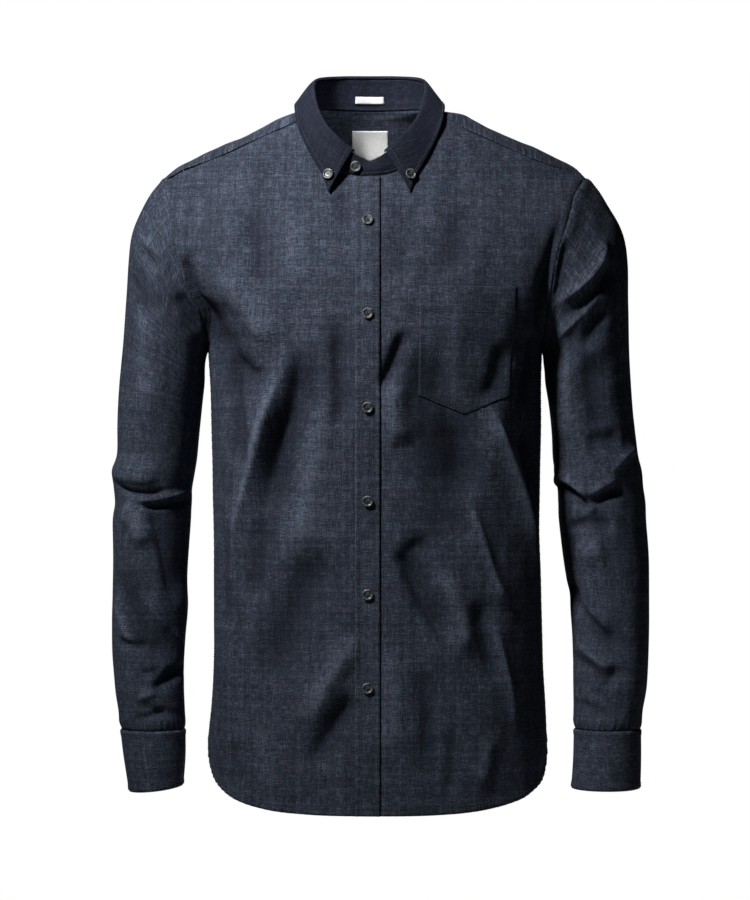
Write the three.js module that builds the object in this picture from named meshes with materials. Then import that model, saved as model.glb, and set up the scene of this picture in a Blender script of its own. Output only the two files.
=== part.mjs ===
// A long-sleeved denim shirt, filled out with no wearer, in millimetres with +Z up.
// The origin is midway between the shoulders. +X is the wearer's left and the front faces -Y.
// Every panel is a thin wall that takes its points from one body surface or one sleeve surface.
import * as THREE from "three";

// Driving sizes
const SEAM_GAP = 0.3;
const SEAM_TRIM = 0.18;
const CLOTH = 1.2;
const COLLAR_CLOTH = 1.6;
const CUFF_CLOTH = 2.0;
const LABEL_CLOTH = 1.0;
const PLACKET_LIFT = 0.45;
const POCKET_LIFT = 1.5;
const NORMAL_STEP = 0.5;

// The armhole is an oval seen from the side, with the top at the shoulder and the bottom underarm
const ARMHOLE_TOP = -57;
const ARMHOLE_BOTTOM = -235;
const ARMHOLE_FRONT = 75;
const ARMHOLE_BACK = 80;
const FRONT_SEAM_ANGLE = 18;
const BACK_SEAM_ANGLE = -54;

// The neck opening, seen from above, is half an oval on each side of its middle
const NECK_MIDDLE = -5.8;
const NECK_HALF_WIDTH = 72;
const SHOULDER_SEAM_ANGLE = 80.4;
const NECK_EDGE_ANGLE = 8.1;

// Edges of the fronts and of the band down the middle
const FRONT_EDGE = 4.0;
const PLACKET_RIGHT = -20.5;
const PLACKET_LEFT = 5.3;
const BUTTON_LINE = -7.6;

// The hem is a shirt tail, lowest at the middle and highest at the side seams
const HEM_FRONT = -726;
const HEM_BACK = -729;
const HEM_SIDE = -655;
const HEM_POWER = 3;

// Counts of mesh cells along each stretch that two pieces share
const YOKE_CELLS = 6;
const ARM_FRONT_CELLS = 9;
const ARM_BACK_CELLS = 7;
const SEAM_CELLS = 5;
const NECK_FRONT_CELLS = 5;
const NECK_BACK_CELLS = 10;
const TRUNK_CELLS = 12;
const COLUMN_SPREAD = 1.5;

// The sleeve starts a gap away from the armhole, along this direction, and its seam is mitred
const SLEEVE_AWAY = { out: 0.97, up: -0.245 };
const MITRE_WEIGHT = 3;

function table(names, rows) {
  const keys = names.split(" ");
  return rows.map((row) => Object.fromEntries(row.map((value, i) => [keys[i], value])));
}

// Half width of the shoulders at each height, from the neck down to the shoulder point
const SHOULDER_LINE = table("z right left", [
  [21, 75, 64],
  [16, 78, 67],
  [10.7, 92, 94],
  [5.3, 104, 105],
  [-7.5, 130.5, 130.5],
  [-20.3, 161, 158],
  [-33.2, 189, 187.5],
  [-46, 212.5, 212],
  [-57, 224.5, 224.5],
]);

// How far out the armhole seam lies at each height
const ARMHOLE = table("z right left", [
  [-57, 224.5, 224.5],
  [-77, 219.5, 211],
  [-103, 213.6, 203.3],
  [-139, 208, 191.5],
  [-170, 200.5, 186],
  [-188.5, 191.5, 183.5],
  [-202.5, 183, 181],
  [-227, 178, 178.5],
  [-235, 176.8, 177.8],
]);

// Half width of the trunk at each height below the armholes
const TRUNK_SIDES = table("z right left", [
  [-235, 176.8, 177.8],
  [-280, 174.8, 175.5],
  [-350, 173.5, 175.5],
  [-430, 172.2, 176],
  [-500, 172, 178],
  [-570, 172.2, 178.8],
  [-620, 173.6, 180.8],
  [-655, 176, 182],
  [-730, 177, 182],
]);

// Depth to the front and to the back, and how square the section is, at each height
const PROFILE = table("z front back power", [
  [21, 6, 62, 2],
  [16, 16, 65, 2],
  [11, 30, 68, 2],
  [3, 38, 72, 2],
  [-7.5, 45, 77, 2],
  [-20, 52.5, 82, 2.05],
  [-33, 58, 86.5, 2.05],
  [-46, 62, 90.5, 2.1],
  [-62, 68, 95, 2.1],
  [-80, 77, 100, 2.2],
  [-110, 92, 106, 2.3],
  [-146, 105, 111, 2.4],
  [-180, 113, 113.5, 2.5],
  [-210, 118, 114, 2.5],
  [-235, 120, 113, 2.5],
  [-300, 119, 108, 2.5],
  [-400, 112, 100, 2.5],
  [-500, 110, 100, 2.5],
  [-600, 112, 106, 2.5],
  [-730, 116, 112, 2.5],
]);

// Height of the seam between front and yoke, at each distance from the middle
const SHOULDER_SEAM = table("x z", [
  [62, 7],
  [78, 3],
  [108, -10],
  [134, -22],
  [163, -35.5],
  [187, -44.5],
  [208, -51.5],
  [224, -61.5],
]);

// Height of the neck seam, by angle from the middle of the front
const NECK_SEAM = table("angle z", [
  [-10, -61.5],
  [0, -62],
  [20, -58],
  [40, -45],
  [60, -24],
  [80, 3],
  [90, 11],
  [100, 16],
  [120, 19.5],
  [150, 21],
  [180, 21],
]);

// Fold line at the top of the collar stand: out is from the neck's middle
const FOLD_LINE = table("angle out y z", [
  [-10, -9, -64.5, -46],
  [0, 0, -64.5, -45],
  [8, 9, -65.5, -41],
  [14, 16, -66, -36],
  [28, 30, -63, -24.5],
  [45, 43.5, -54, -10.5],
  [62, 53, -38, 6.5],
  [80, 59, -14, 27],
  [100, 60.3, 10, 43],
  [120, 55, 31, 51],
  [150, 31, 52, 55.5],
  [180, 0, 58, 56.4],
]);

// Free edge of the collar, from its point at the front to the middle of the back
const COLLAR_EDGE = table("angle out y z", [
  [14, 43, -79.6, -79],
  [28, 50, -70.5, -60],
  [45, 60, -63.5, -42],
  [62, 69, -55, -24],
  [80, 77.5, -40, -1],
  [90, 80.5, -19, 15.5],
  [100, 80.5, 3, 20.5],
  [120, 74, 34, 18],
  [150, 42, 64, 14.5],
  [180, 0, 74, 14],
]);
const COLLAR_FRONT_ANGLE = 14;
const COLLAR_ROWS = [0, 0.07, 0.36, 0.7, 1];
const FOLD_RISE = 2.9;
const COLLAR_ROLL = 6;
const STAND_LAP = 1.05;
const STAND_LAP_RAISE = 0.5;
const STAND_END_ANGLE = 7.7;
const STAND_BASE_FIRST_ANGLE = -9;
const STAND_ROWS = [0, 0.5, 0.97];
const STAND_EASE = 0.3;

// Outer and inner line of each sleeve, with the middle and half of its depth, from armhole to cuff
const SLEEVE_RIGHT = table("outX outZ inX inZ y depth", [
  [224.5, -57, 176.8, -235, -2.5, 77.5],
  [238, -70, 178.5, -240, 1, 77],
  [250, -90, 180, -245, 2, 76],
  [260.5, -117, 181, -250, 3, 74],
  [265, -150, 182, -256, 4, 71],
  [267, -190, 182.5, -264, 4, 68],
  [269, -235, 183, -277, 5, 65],
  [272, -280, 186, -300, 6, 62],
  [274.5, -320, 189.5, -330, 7, 59],
  [276, -352, 192, -356, 8, 57],
  [282, -370, 194.5, -373, 8, 58],
  [280.5, -388, 197, -390, 7, 54],
  [279.5, -405, 197, -404, 6, 53],
  [282, -425, 197.5, -425, 5, 54],
  [281, -470, 198.5, -470, 1, 51],
  [281, -520, 199, -520, -4, 48],
  [279.5, -565, 203, -565, -9, 44],
  [275, -600, 204, -600, -14, 41],
  [270.5, -625, 203, -625, -18, 38.5],
  [269.5, -643.2, 202, -643.2, -20, 37.5],
]);
const SLEEVE_LEFT = table("outX outZ inX inZ y depth", [
  [224.5, -57, 177.8, -235, -2.5, 77.5],
  [240, -70, 179.5, -240, 1, 77],
  [253, -90, 180.5, -245, 2, 76],
  [265.5, -117, 181, -250, 3, 74],
  [270.5, -150, 181.5, -256, 4, 71],
  [271, -190, 182.5, -264, 4, 68],
  [272, -235, 183.5, -277, 5, 65],
  [274, -280, 187, -300, 6, 62],
  [277.5, -320, 190, -330, 7, 59],
  [281, -352, 191, -356, 8, 57],
  [285, -370, 193.5, -373, 8, 57],
  [286.5, -388, 196, -390, 7, 54],
  [289, -405, 197, -404, 6, 53],
  [290, -425, 197.5, -425, 5, 54],
  [293, -470, 202, -470, 1, 51],
  [293, -520, 208.5, -520, -4, 48],
  [292, -565, 212, -565, -9, 44],
  [289.5, -600, 213, -600, -14, 41],
  [284.5, -625, 213, -625, -18, 38.5],
  [282.5, -643.2, 212.5, -643.2, -20, 37.5],
]);
// How much of the armhole's own shape is left in the first rings of the sleeve
const ARMHOLE_FADE = [1, 0.8, 0.6, 0.4, 0.2, 0.1];

const CUFF_RIGHT = table("outX outZ inX inZ y depth", [
  [269.5, -643.8, 202, -643.8, -20, 39],
  [266, -675, 201.5, -673, -24, 40],
  [261.5, -709, 203, -703, -28, 41],
]);
const CUFF_LEFT = table("outX outZ inX inZ y depth", [
  [282.5, -643.8, 212.5, -643.8, -20, 39],
  [282.5, -675, 211, -675, -24, 40],
  [281.5, -706, 208, -706, -28, 41],
]);

// The largest folds of the fronts and the back: a line on the cloth, its width and its height
const FRONT_FOLDS = table("x0 z0 x1 z1 width height", [
  [-165, -205, -105, -265, 26, -5],
  [-98, -262, -140, -390, 24, 4],
  [-76, -250, -120, -400, 26, -4],
  [120, -255, 122, -330, 26, -5],
  [60, -285, 95, -410, 26, -4],
  [-22, -590, -80, -680, 26, -4],
  [45, -450, 100, -570, 30, -3.5],
  [125, -320, 160, -420, 22, 3],
]);
const BACK_FOLDS = table("x0 z0 x1 z1 width height", [
  [-160, -205, -95, -280, 28, -5],
  [165, -205, 90, -300, 28, -5],
  [-60, -300, -30, -470, 30, -4],
  [70, -340, 50, -520, 30, -4],
  [-110, -470, -60, -610, 28, -3.5],
]);
const FOLD_FADE_START = 0.8;
const FOLD_FADE_END = 0.96;
const FOLD_CENTRE_START = 22;
const FOLD_CENTRE_END = 45;
const FOLD_OVERRUN = 0.2;

// Pocket corners on the front, and its point
const POCKET = { inner: 46, outerTop: 146.5, outerBottom: 140, top: -178.5, bottom: -292, point: -311.5 };

// Buttons
const BUTTON_RADIUS = 5.7;
const BUTTON_THICKNESS = 2.4;
const BUTTON_SEGMENTS = 12;
const FIRST_BUTTON = -110.6;
const BUTTON_PITCH = 96.7;
const FRONT_BUTTONS = 6;

const radians = THREE.MathUtils.degToRad;
const clamp = THREE.MathUtils.clamp;
const lerp = THREE.MathUtils.lerp;
const smooth = (value, low, high) => THREE.MathUtils.smoothstep(value, low, high);
const point = (x, y, z) => new THREE.Vector3(x, y, z);
const steps = (count) => Array.from({ length: count + 1 }, (_, i) => i / count);

// Reads a column of a table at any key, along a smooth curve through its rows
function read(rows, key, at, column) {
  const last = rows.length - 1;
  const rising = rows[last][key] > rows[0][key];
  let i = 0;
  while (i < last - 1 && (rising ? at > rows[i + 1][key] : at < rows[i + 1][key])) {
    i += 1;
  }
  const slope = (k) => {
    const before = rows[Math.max(k - 1, 0)];
    const after = rows[Math.min(k + 1, last)];
    return (after[column] - before[column]) / (after[key] - before[key]);
  };
  const a = rows[i];
  const b = rows[i + 1];
  const span = b[key] - a[key];
  const t = clamp((at - a[key]) / span, 0, 1);
  const startSlope = slope(i) * span;
  const endSlope = slope(i + 1) * span;
  const rise = b[column] - a[column];
  return a[column] + t * (startSlope + t * (3 * rise - 2 * startSlope - endSlope
    + t * (startSlope + endSlope - 2 * rise)));
}

// The body surface: a level section at each height, a quarter of a rounded oval per side and facing
function armholeDepth(z, facing) {
  const middle = (ARMHOLE_TOP + ARMHOLE_BOTTOM) / 2;
  const half = (ARMHOLE_TOP - ARMHOLE_BOTTOM) / 2;
  const reach = facing === "front" ? ARMHOLE_FRONT : ARMHOLE_BACK;
  return reach * Math.sqrt(Math.max(0, 1 - ((z - middle) / half) ** 2));
}

// Between the armholes the section is wide enough for its surface to pass through the armhole seam
function halfWidth(side, z, facing) {
  if (z >= ARMHOLE_TOP) {
    return read(SHOULDER_LINE, "z", z, side);
  }
  if (z <= ARMHOLE_BOTTOM) {
    return read(TRUNK_SIDES, "z", z, side);
  }
  const power = read(PROFILE, "z", z, "power");
  const depth = read(PROFILE, "z", z, facing);
  const share = (armholeDepth(z, facing) / depth) ** power;
  return read(ARMHOLE, "z", z, side) / (1 - share) ** (1 / power);
}

// across runs from -1 at the right side to 1 at the left side
function bodyPoint(across, z, facing) {
  const side = across < 0 ? "right" : "left";
  const power = read(PROFILE, "z", z, "power");
  const part = Math.min(Math.abs(across), 1);
  const near = part ** (power / 2);
  const far = (1 - part) ** (power / 2);
  const angle = (near / (near + far)) * (Math.PI / 2);
  const x = halfWidth(side, z, facing) * Math.sin(angle) ** (2 / power) * Math.sign(across);
  const y = read(PROFILE, "z", z, facing) * Math.max(0, Math.cos(angle)) ** (2 / power);
  return point(x, facing === "front" ? -y : y, z);
}

function acrossAt(x, z, facing) {
  const side = x < 0 ? "right" : "left";
  const power = read(PROFILE, "z", z, "power");
  const ratio = Math.min(Math.abs(x) / halfWidth(side, z, facing), 1);
  const share = Math.asin(ratio ** (power / 2)) / (Math.PI / 2);
  if (share > 0.99999) {
    return Math.sign(x);
  }
  const odds = (share / (1 - share)) ** (2 / power);
  return (odds / (1 + odds)) * Math.sign(x);
}

function bodyDepth(x, z, facing) {
  const side = x < 0 ? "right" : "left";
  const power = read(PROFILE, "z", z, "power");
  const share = (Math.abs(x) / halfWidth(side, z, facing)) ** power;
  return read(PROFILE, "z", z, facing) * Math.max(0, 1 - share) ** (1 / power);
}

// Outward direction of the body surface, from how the section's equation changes nearby
function bodyNormal(at, facing) {
  const level = (x, y, z) => {
    const side = x < 0 ? "right" : "left";
    const power = read(PROFILE, "z", z, "power");
    const depth = read(PROFILE, "z", z, facing);
    return (Math.abs(x) / halfWidth(side, z, facing)) ** power + (Math.abs(y) / depth) ** power;
  };
  const { x, y, z } = at;
  const d = NORMAL_STEP;
  return point(
    level(x + d, y, z) - level(x - d, y, z),
    level(x, y + d, z) - level(x, y - d, z),
    level(x, y, z + d) - level(x, y, z - d),
  ).normalize();
}

function armholePoint(sign, angle) {
  const middle = (ARMHOLE_TOP + ARMHOLE_BOTTOM) / 2;
  const half = (ARMHOLE_TOP - ARMHOLE_BOTTOM) / 2;
  const z = middle + half * Math.cos(radians(angle));
  const reach = angle > 0 ? ARMHOLE_FRONT : ARMHOLE_BACK;
  const x = sign * read(ARMHOLE, "z", z, sign < 0 ? "right" : "left");
  return point(x, -reach * Math.sin(radians(angle)), z);
}

// Armhole angles that the yoke, the fronts, the back and the sleeves share: 0 is the shoulder
const YOKE_ANGLES = steps(YOKE_CELLS).map((t) => lerp(FRONT_SEAM_ANGLE, BACK_SEAM_ANGLE, t));
const FRONT_ANGLES = steps(ARM_FRONT_CELLS).map((t) => lerp(FRONT_SEAM_ANGLE, 180, t));
const BACK_ANGLES = steps(ARM_BACK_CELLS).map((t) => lerp(BACK_SEAM_ANGLE, -180, t));
const RING_ANGLES = [
  ...YOKE_ANGLES.slice(0, -1),
  ...BACK_ANGLES.slice(0, -1),
  ...FRONT_ANGLES.slice(1).reverse(),
];

// Neck seam point, at an angle from the middle of the front round to the middle of the back
function neckPoint(sign, angle) {
  const x = NECK_MIDDLE + sign * NECK_HALF_WIDTH * Math.sin(radians(angle));
  const z = read(NECK_SEAM, "angle", angle, "z");
  if (angle < 100) {
    return point(x, -bodyDepth(x, z, "front"), z);
  }
  return point(x, bodyDepth(x, z, "back"), z);
}

function shoulderSeamPoint(sign, t) {
  const start = neckPoint(sign, SHOULDER_SEAM_ANGLE);
  const end = armholePoint(sign, FRONT_SEAM_ANGLE);
  if (t === 0) {
    return start;
  }
  if (t === 1) {
    return end;
  }
  const x = lerp(start.x, end.x, t);
  const z = lerp(start.z, end.z, t) + read(SHOULDER_SEAM, "x", Math.abs(x), "z")
    - lerp(read(SHOULDER_SEAM, "x", Math.abs(start.x), "z"), read(SHOULDER_SEAM, "x", Math.abs(end.x), "z"), t);
  return point(x, -bodyDepth(x, z, "front"), z);
}

// Height of the body surface over a point seen from above, found by halving
const YOKE_LOWEST = -120;
const HALVINGS = 24;
function bodyHeight(x, y) {
  const facing = y < 0 ? "front" : "back";
  let low = YOKE_LOWEST;
  let high = PROFILE[0].z;
  for (let i = 0; i < HALVINGS; i += 1) {
    const z = (low + high) / 2;
    if (bodyDepth(x, z, facing) > Math.abs(y)) {
      low = z;
    } else {
      high = z;
    }
  }
  return (low + high) / 2;
}

function hemHeight(across, facing) {
  const middle = facing === "front" ? HEM_FRONT : HEM_BACK;
  return lerp(middle, HEM_SIDE, Math.abs(across) ** HEM_POWER);
}

// How far the folds push the cloth out at a point: a soft ridge or trough beside each line
function foldOffset(folds, at, across) {
  const fade = 1 - smooth(Math.abs(across), FOLD_FADE_START, FOLD_FADE_END);
  const centre = smooth(Math.abs(at.x - BUTTON_LINE), FOLD_CENTRE_START, FOLD_CENTRE_END);
  let total = 0;
  for (const fold of folds) {
    const runX = fold.x1 - fold.x0;
    const runZ = fold.z1 - fold.z0;
    const length = Math.hypot(runX, runZ);
    const share = ((at.x - fold.x0) * runX + (at.z - fold.z0) * runZ) / length ** 2;
    const along = clamp(share, -FOLD_OVERRUN, 1 + FOLD_OVERRUN);
    const away = Math.hypot(at.x - fold.x0 - along * runX, at.z - fold.z0 - along * runZ);
    const taper = Math.sin(Math.PI * (along + FOLD_OVERRUN) / (1 + 2 * FOLD_OVERRUN));
    total += fold.height * taper * Math.exp(-((away / fold.width) ** 2));
  }
  return total * fade * centre;
}

// Builds one closed wall from a grid of outer points and their outward directions
function wall(rows, normals, thickness, closedAround, lift = 0) {
  const count = rows.length;
  const width = rows[0].length;
  const positions = [];
  for (const depth of [lift, lift - thickness]) {
    rows.forEach((row, i) => row.forEach((at, j) => {
      const moved = at.clone().addScaledVector(normals[i][j], depth);
      positions.push(moved.x, moved.y, moved.z);
    }));
  }
  const outer = (i, j) => i * width + (j % width);
  const inner = (i, j) => count * width + outer(i, j);
  const faces = [];
  const quad = (a, b, c, d) => faces.push(a, b, c, a, c, d);
  const cells = closedAround ? width : width - 1;
  for (let i = 0; i < count - 1; i += 1) {
    for (let j = 0; j < cells; j += 1) {
      quad(outer(i, j), outer(i, j + 1), outer(i + 1, j + 1), outer(i + 1, j));
      quad(inner(i, j), inner(i + 1, j), inner(i + 1, j + 1), inner(i, j + 1));
    }
    if (!closedAround) {
      quad(outer(i, 0), outer(i + 1, 0), inner(i + 1, 0), inner(i, 0));
      quad(outer(i, width - 1), inner(i, width - 1), inner(i + 1, width - 1), outer(i + 1, width - 1));
    }
  }
  for (let j = 0; j < cells; j += 1) {
    quad(outer(0, j), inner(0, j), inner(0, j + 1), outer(0, j + 1));
    quad(outer(count - 1, j), outer(count - 1, j + 1), inner(count - 1, j + 1), inner(count - 1, j));
  }
  const geometry = new THREE.BufferGeometry();
  geometry.setAttribute("position", new THREE.Float32BufferAttribute(positions, 3));
  geometry.setIndex(signedVolume(positions, faces) < 0 ? reversed(faces) : faces);
  return geometry;
}

function signedVolume(positions, faces) {
  const corner = (k) => point(...positions.slice(3 * k, 3 * k + 3));
  let total = 0;
  for (let f = 0; f < faces.length; f += 3) {
    const [a, b, c] = [corner(faces[f]), corner(faces[f + 1]), corner(faces[f + 2])];
    total += a.dot(b.cross(c));
  }
  return total / 6;
}

function reversed(faces) {
  const turned = [];
  for (let f = 0; f < faces.length; f += 3) {
    turned.push(faces[f], faces[f + 2], faces[f + 1]);
  }
  return turned;
}

// Directions square to a grid of points, turned to agree with a guide direction at each point
function gridNormals(rows, closedAround, guide) {
  const last = rows.length - 1;
  return rows.map((row, i) => row.map((at, j) => {
    const width = row.length;
    const before = closedAround ? (j + width - 1) % width : Math.max(j - 1, 0);
    const after = closedAround ? (j + 1) % width : Math.min(j + 1, width - 1);
    const around = row[after].clone().sub(row[before]);
    const down = rows[Math.min(i + 1, last)][j].clone().sub(rows[Math.max(i - 1, 0)][j]);
    const normal = around.cross(down).normalize();
    return normal.dot(guide(at, i, j)) < 0 ? normal.negate() : normal;
  }));
}

// Draws the border of a panel in, so that its seams leave a gap to the next panel
function trimmed({ rows, normals }) {
  const last = rows.length - 1;
  const end = rows[0].length - 1;
  const towards = (from, to) => to.clone().sub(from).setLength(SEAM_TRIM);
  const moved = rows.map((row, i) => row.map((at, j) => {
    const place = at.clone();
    if (i === 0 || i === last) {
      place.add(towards(at, rows[i === 0 ? 1 : last - 1][j]));
    }
    if (j === 0 || j === end) {
      place.add(towards(at, row[j === 0 ? 1 : end - 1]));
    }
    return place;
  }));
  return { rows: moved, normals };
}

// Grid of a front or back panel: columns hang from the given top points to the hem
function panelRows(tops, edges, ringAngles, sideSigns, facing, folds) {
  const ringTop = armholePoint(1, ringAngles[0]).z;
  const shares = ringAngles.map((angle) => (ringTop - armholePoint(1, angle).z) / (ringTop - ARMHOLE_BOTTOM));
  const heights = (top, hem) => [
    ...shares.map((share) => lerp(top, ARMHOLE_BOTTOM, share)),
    ...steps(TRUNK_CELLS).slice(1).map((t) => lerp(ARMHOLE_BOTTOM, hem, t)),
  ];
  const bounds = (z) => edges.map((edge, k) => {
    if (edge !== null) {
      return acrossAt(edge, z, facing);
    }
    if (z >= ARMHOLE_TOP || z <= ARMHOLE_BOTTOM) {
      return sideSigns[k];
    }
    const side = sideSigns[k] < 0 ? "right" : "left";
    return acrossAt(sideSigns[k] * read(ARMHOLE, "z", z, side), z, facing);
  });
  const columns = tops.map((top, j) => {
    const low = j / (tops.length - 1);
    const [start, end] = bounds(top.z);
    const high = clamp((acrossAt(top.x, top.z, facing) - start) / (end - start), 0, 1);
    const hemBounds = bounds(HEM_SIDE);
    const hem = hemHeight(lerp(hemBounds[0], hemBounds[1], low), facing);
    return heights(top.z, hem).map((z, i) => {
      if (i === 0) {
        return { at: top.clone(), across: acrossAt(top.x, top.z, facing) };
      }
      const share = i < shares.length ? shares[i] : 1;
      const part = lerp(low, high, (1 - share) ** COLUMN_SPREAD);
      const [from, to] = bounds(z);
      const across = lerp(from, to, part);
      return { at: bodyPoint(across, z, facing), across };
    });
  });
  const rows = columns[0].map((_, i) => columns.map((column) => column[i].at));
  const normals = rows.map((row) => row.map((at) => bodyNormal(at, facing)));
  const offsets = columns[0].map((_, i) => columns.map((column) => {
    const span = bounds(column[i].at.z).map(Math.abs);
    return foldOffset(folds, column[i].at, column[i].across / Math.max(...span));
  }));
  rows.forEach((row, i) => row.forEach((at, j) => at.addScaledVector(normals[i][j], offsets[i][j])));
  return { rows, normals };
}

const NECK_FRONT_ANGLES = steps(NECK_FRONT_CELLS).map((t) => lerp(NECK_EDGE_ANGLE, SHOULDER_SEAM_ANGLE, t));
const NECK_BACK_TURNS = steps(NECK_BACK_CELLS)
  .map((t) => lerp(SHOULDER_SEAM_ANGLE, 360 - SHOULDER_SEAM_ANGLE, t));
const SEAM_SHARES = steps(SEAM_CELLS).slice(1);

// Points along the top of a front, from its neck edge out along the shoulder seam
function frontTops(sign) {
  const neck = NECK_FRONT_ANGLES.map((angle) => neckPoint(sign, angle));
  const seam = SEAM_SHARES.map((t) => shoulderSeamPoint(sign, t));
  return [...neck, ...seam];
}

function edgeTop(x) {
  const z = read(NECK_SEAM, "angle", 0, "z");
  return point(x, -bodyDepth(x, z, "front"), z);
}

function frontPanel(sign) {
  const edge = sign < 0 ? FRONT_EDGE : FRONT_EDGE + SEAM_GAP;
  const tops = frontTops(sign);
  if (sign < 0) {
    tops.unshift(edgeTop(edge));
  } else {
    tops[0] = edgeTop(edge);
  }
  return panelRows(tops, [edge, null], FRONT_ANGLES, [sign, sign], "front", FRONT_FOLDS);
}

function yokeBackPoint(across) {
  const corner = armholePoint(Math.sign(across) || 1, BACK_SEAM_ANGLE);
  const z = corner.z;
  if (Math.abs(across) === 1) {
    return corner;
  }
  const x = Math.abs(corner.x) * across;
  return point(x, bodyDepth(x, z, "back"), z);
}

// The yoke hangs in columns from the shoulder seams and the back neck to the seam across the back
function yokeColumns() {
  const seam = SEAM_SHARES.slice().reverse();
  const starts = [
    ...seam.map((t) => shoulderSeamPoint(-1, t)),
    ...NECK_BACK_TURNS.map((turn) => (turn <= 180 ? neckPoint(-1, turn) : neckPoint(1, 360 - turn))),
    ...SEAM_SHARES.map((t) => shoulderSeamPoint(1, t)),
  ];
  return starts.map((start, j) => ({ start, end: yokeBackPoint(-1 + (2 * j) / (starts.length - 1)) }));
}

function yokePanel() {
  const columns = yokeColumns();
  const ring = YOKE_ANGLES.map((angle) => armholePoint(1, angle));
  const shares = ring.map((at) => (at.y - ring[0].y) / (ring[YOKE_CELLS].y - ring[0].y));
  const rows = shares.map((share, i) => columns.map(({ start, end }, j) => {
    if (i === 0) {
      return start.clone();
    }
    if (i === YOKE_CELLS) {
      return end.clone();
    }
    if (j === 0 || j === columns.length - 1) {
      return armholePoint(j === 0 ? -1 : 1, YOKE_ANGLES[i]);
    }
    const x = lerp(start.x, end.x, share);
    const y = lerp(start.y, end.y, share);
    return point(x, y, bodyHeight(x, y));
  }));
  const normals = rows.map((row) => row.map((at) => bodyNormal(at, at.y < 0 ? "front" : "back")));
  return { rows, normals };
}

function backPanel() {
  const tops = yokeColumns().map(({ end }) => end.clone());
  return panelRows(tops, [null, null], BACK_ANGLES, [-1, 1], "back", BACK_FOLDS);
}

// A ring of a sleeve or a cuff lies between its outer and its inner point
function ringPoint(sign, row, angle) {
  const out = point(sign * row.outX, row.y, row.outZ);
  const inside = point(sign * row.inX, row.y, row.inZ);
  const middle = out.clone().add(inside).multiplyScalar(0.5);
  const reach = out.sub(middle);
  const at = middle.addScaledVector(reach, Math.cos(radians(angle)));
  at.y -= row.depth * Math.sin(radians(angle));
  return at;
}

function sleeveRows(sign, sizes) {
  const away = point(sign * SLEEVE_AWAY.out, 0, SLEEVE_AWAY.up);
  return sizes.map((row, k) => RING_ANGLES.map((angle) => {
    const seam = armholePoint(sign, angle);
    if (k === 0) {
      return seam.addScaledVector(away, SEAM_GAP);
    }
    const shift = seam.sub(ringPoint(sign, sizes[0], angle));
    return ringPoint(sign, row, angle).addScaledVector(shift, ARMHOLE_FADE[k] ?? 0);
  }));
}

// Seen from inside a sleeve, outward is away from the middle of its own ring
function ringGuide(rows) {
  const middles = rows.map((row) => {
    const total = row.reduce((sum, at) => sum.add(at), point(0, 0, 0));
    return total.multiplyScalar(1 / row.length);
  });
  return (at, i) => at.clone().sub(middles[i]);
}

function sleevePanel(sign, sizes) {
  const rows = sleeveRows(sign, sizes);
  const normals = gridNormals(rows, true, ringGuide(rows));
  normals[0] = normals[0].map((normal, j) => {
    const angle = RING_ANGLES[j];
    const body = bodyNormal(armholePoint(sign, angle), angle > 0 ? "front" : "back");
    return normal.addScaledVector(body, Math.max(0, Math.cos(radians(angle))) * MITRE_WEIGHT).normalize();
  });
  return { rows, normals };
}

function cuffPanel(sign, sizes) {
  const rows = sizes.map((row) => RING_ANGLES.map((angle) => ringPoint(sign, row, angle)));
  return { rows, normals: gridNormals(rows, true, ringGuide(rows)) };
}

// A strip behind the wrist, made from points of the sleeve
const SLIT_ANGLES = [-90, -126];
const SLIT_FIRST_RING = 15;
function sleevePlacket(sleeve) {
  const columns = RING_ANGLES.map((angle, j) => ({ angle, j }))
    .filter(({ angle }) => angle <= SLIT_ANGLES[0] + 1 && angle >= SLIT_ANGLES[1] - 1)
    .map(({ j }) => j);
  const pick = (grid) => grid.slice(SLIT_FIRST_RING).map((row) => columns.map((j) => row[j].clone()));
  return { rows: pick(sleeve.rows), normals: pick(sleeve.normals) };
}

function placketPanel() {
  const across = steps(3).map((t) => lerp(PLACKET_RIGHT, PLACKET_LEFT, t));
  const neck = read(NECK_SEAM, "angle", 0, "z");
  const ringTop = armholePoint(1, FRONT_SEAM_ANGLE).z;
  const shares = FRONT_ANGLES.map((angle) => (ringTop - armholePoint(1, angle).z) / (ringTop - ARMHOLE_BOTTOM));
  const heights = [
    ...shares.map((share) => lerp(neck, ARMHOLE_BOTTOM, share)),
    ...steps(TRUNK_CELLS).slice(1).map((t) => lerp(ARMHOLE_BOTTOM, HEM_FRONT, t)),
  ];
  const rows = heights.map((z) => across.map((x) => point(x, -bodyDepth(x, z, "front"), z)));
  return { rows, normals: rows.map((row) => row.map((at) => bodyNormal(at, "front"))) };
}

// The point of a panel's facets that lies at a place seen from the front
function onFacets(rows, x, z) {
  const spot = new THREE.Vector2(x, z);
  const flat = (at) => new THREE.Vector2(at.x, at.z);
  for (let i = 0; i < rows.length - 1; i += 1) {
    for (let j = 0; j < rows[i].length - 1; j += 1) {
      const corner = rows[i][j];
      const far = rows[i + 1][j + 1];
      for (const side of [rows[i][j + 1], rows[i + 1][j]]) {
        const [a, b, c] = [corner, side, far].map(flat);
        const area = b.clone().sub(a).cross(c.clone().sub(a));
        const shareB = spot.clone().sub(a).cross(c.clone().sub(a)) / area;
        const shareC = b.clone().sub(a).cross(spot.clone().sub(a)) / area;
        if (shareB >= 0 && shareC >= 0 && shareB + shareC <= 1) {
          return point(x, corner.y + shareB * (side.y - corner.y) + shareC * (far.y - corner.y), z);
        }
      }
    }
  }
  throw new Error(`no facet of the panel at ${x}, ${z}`);
}

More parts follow.
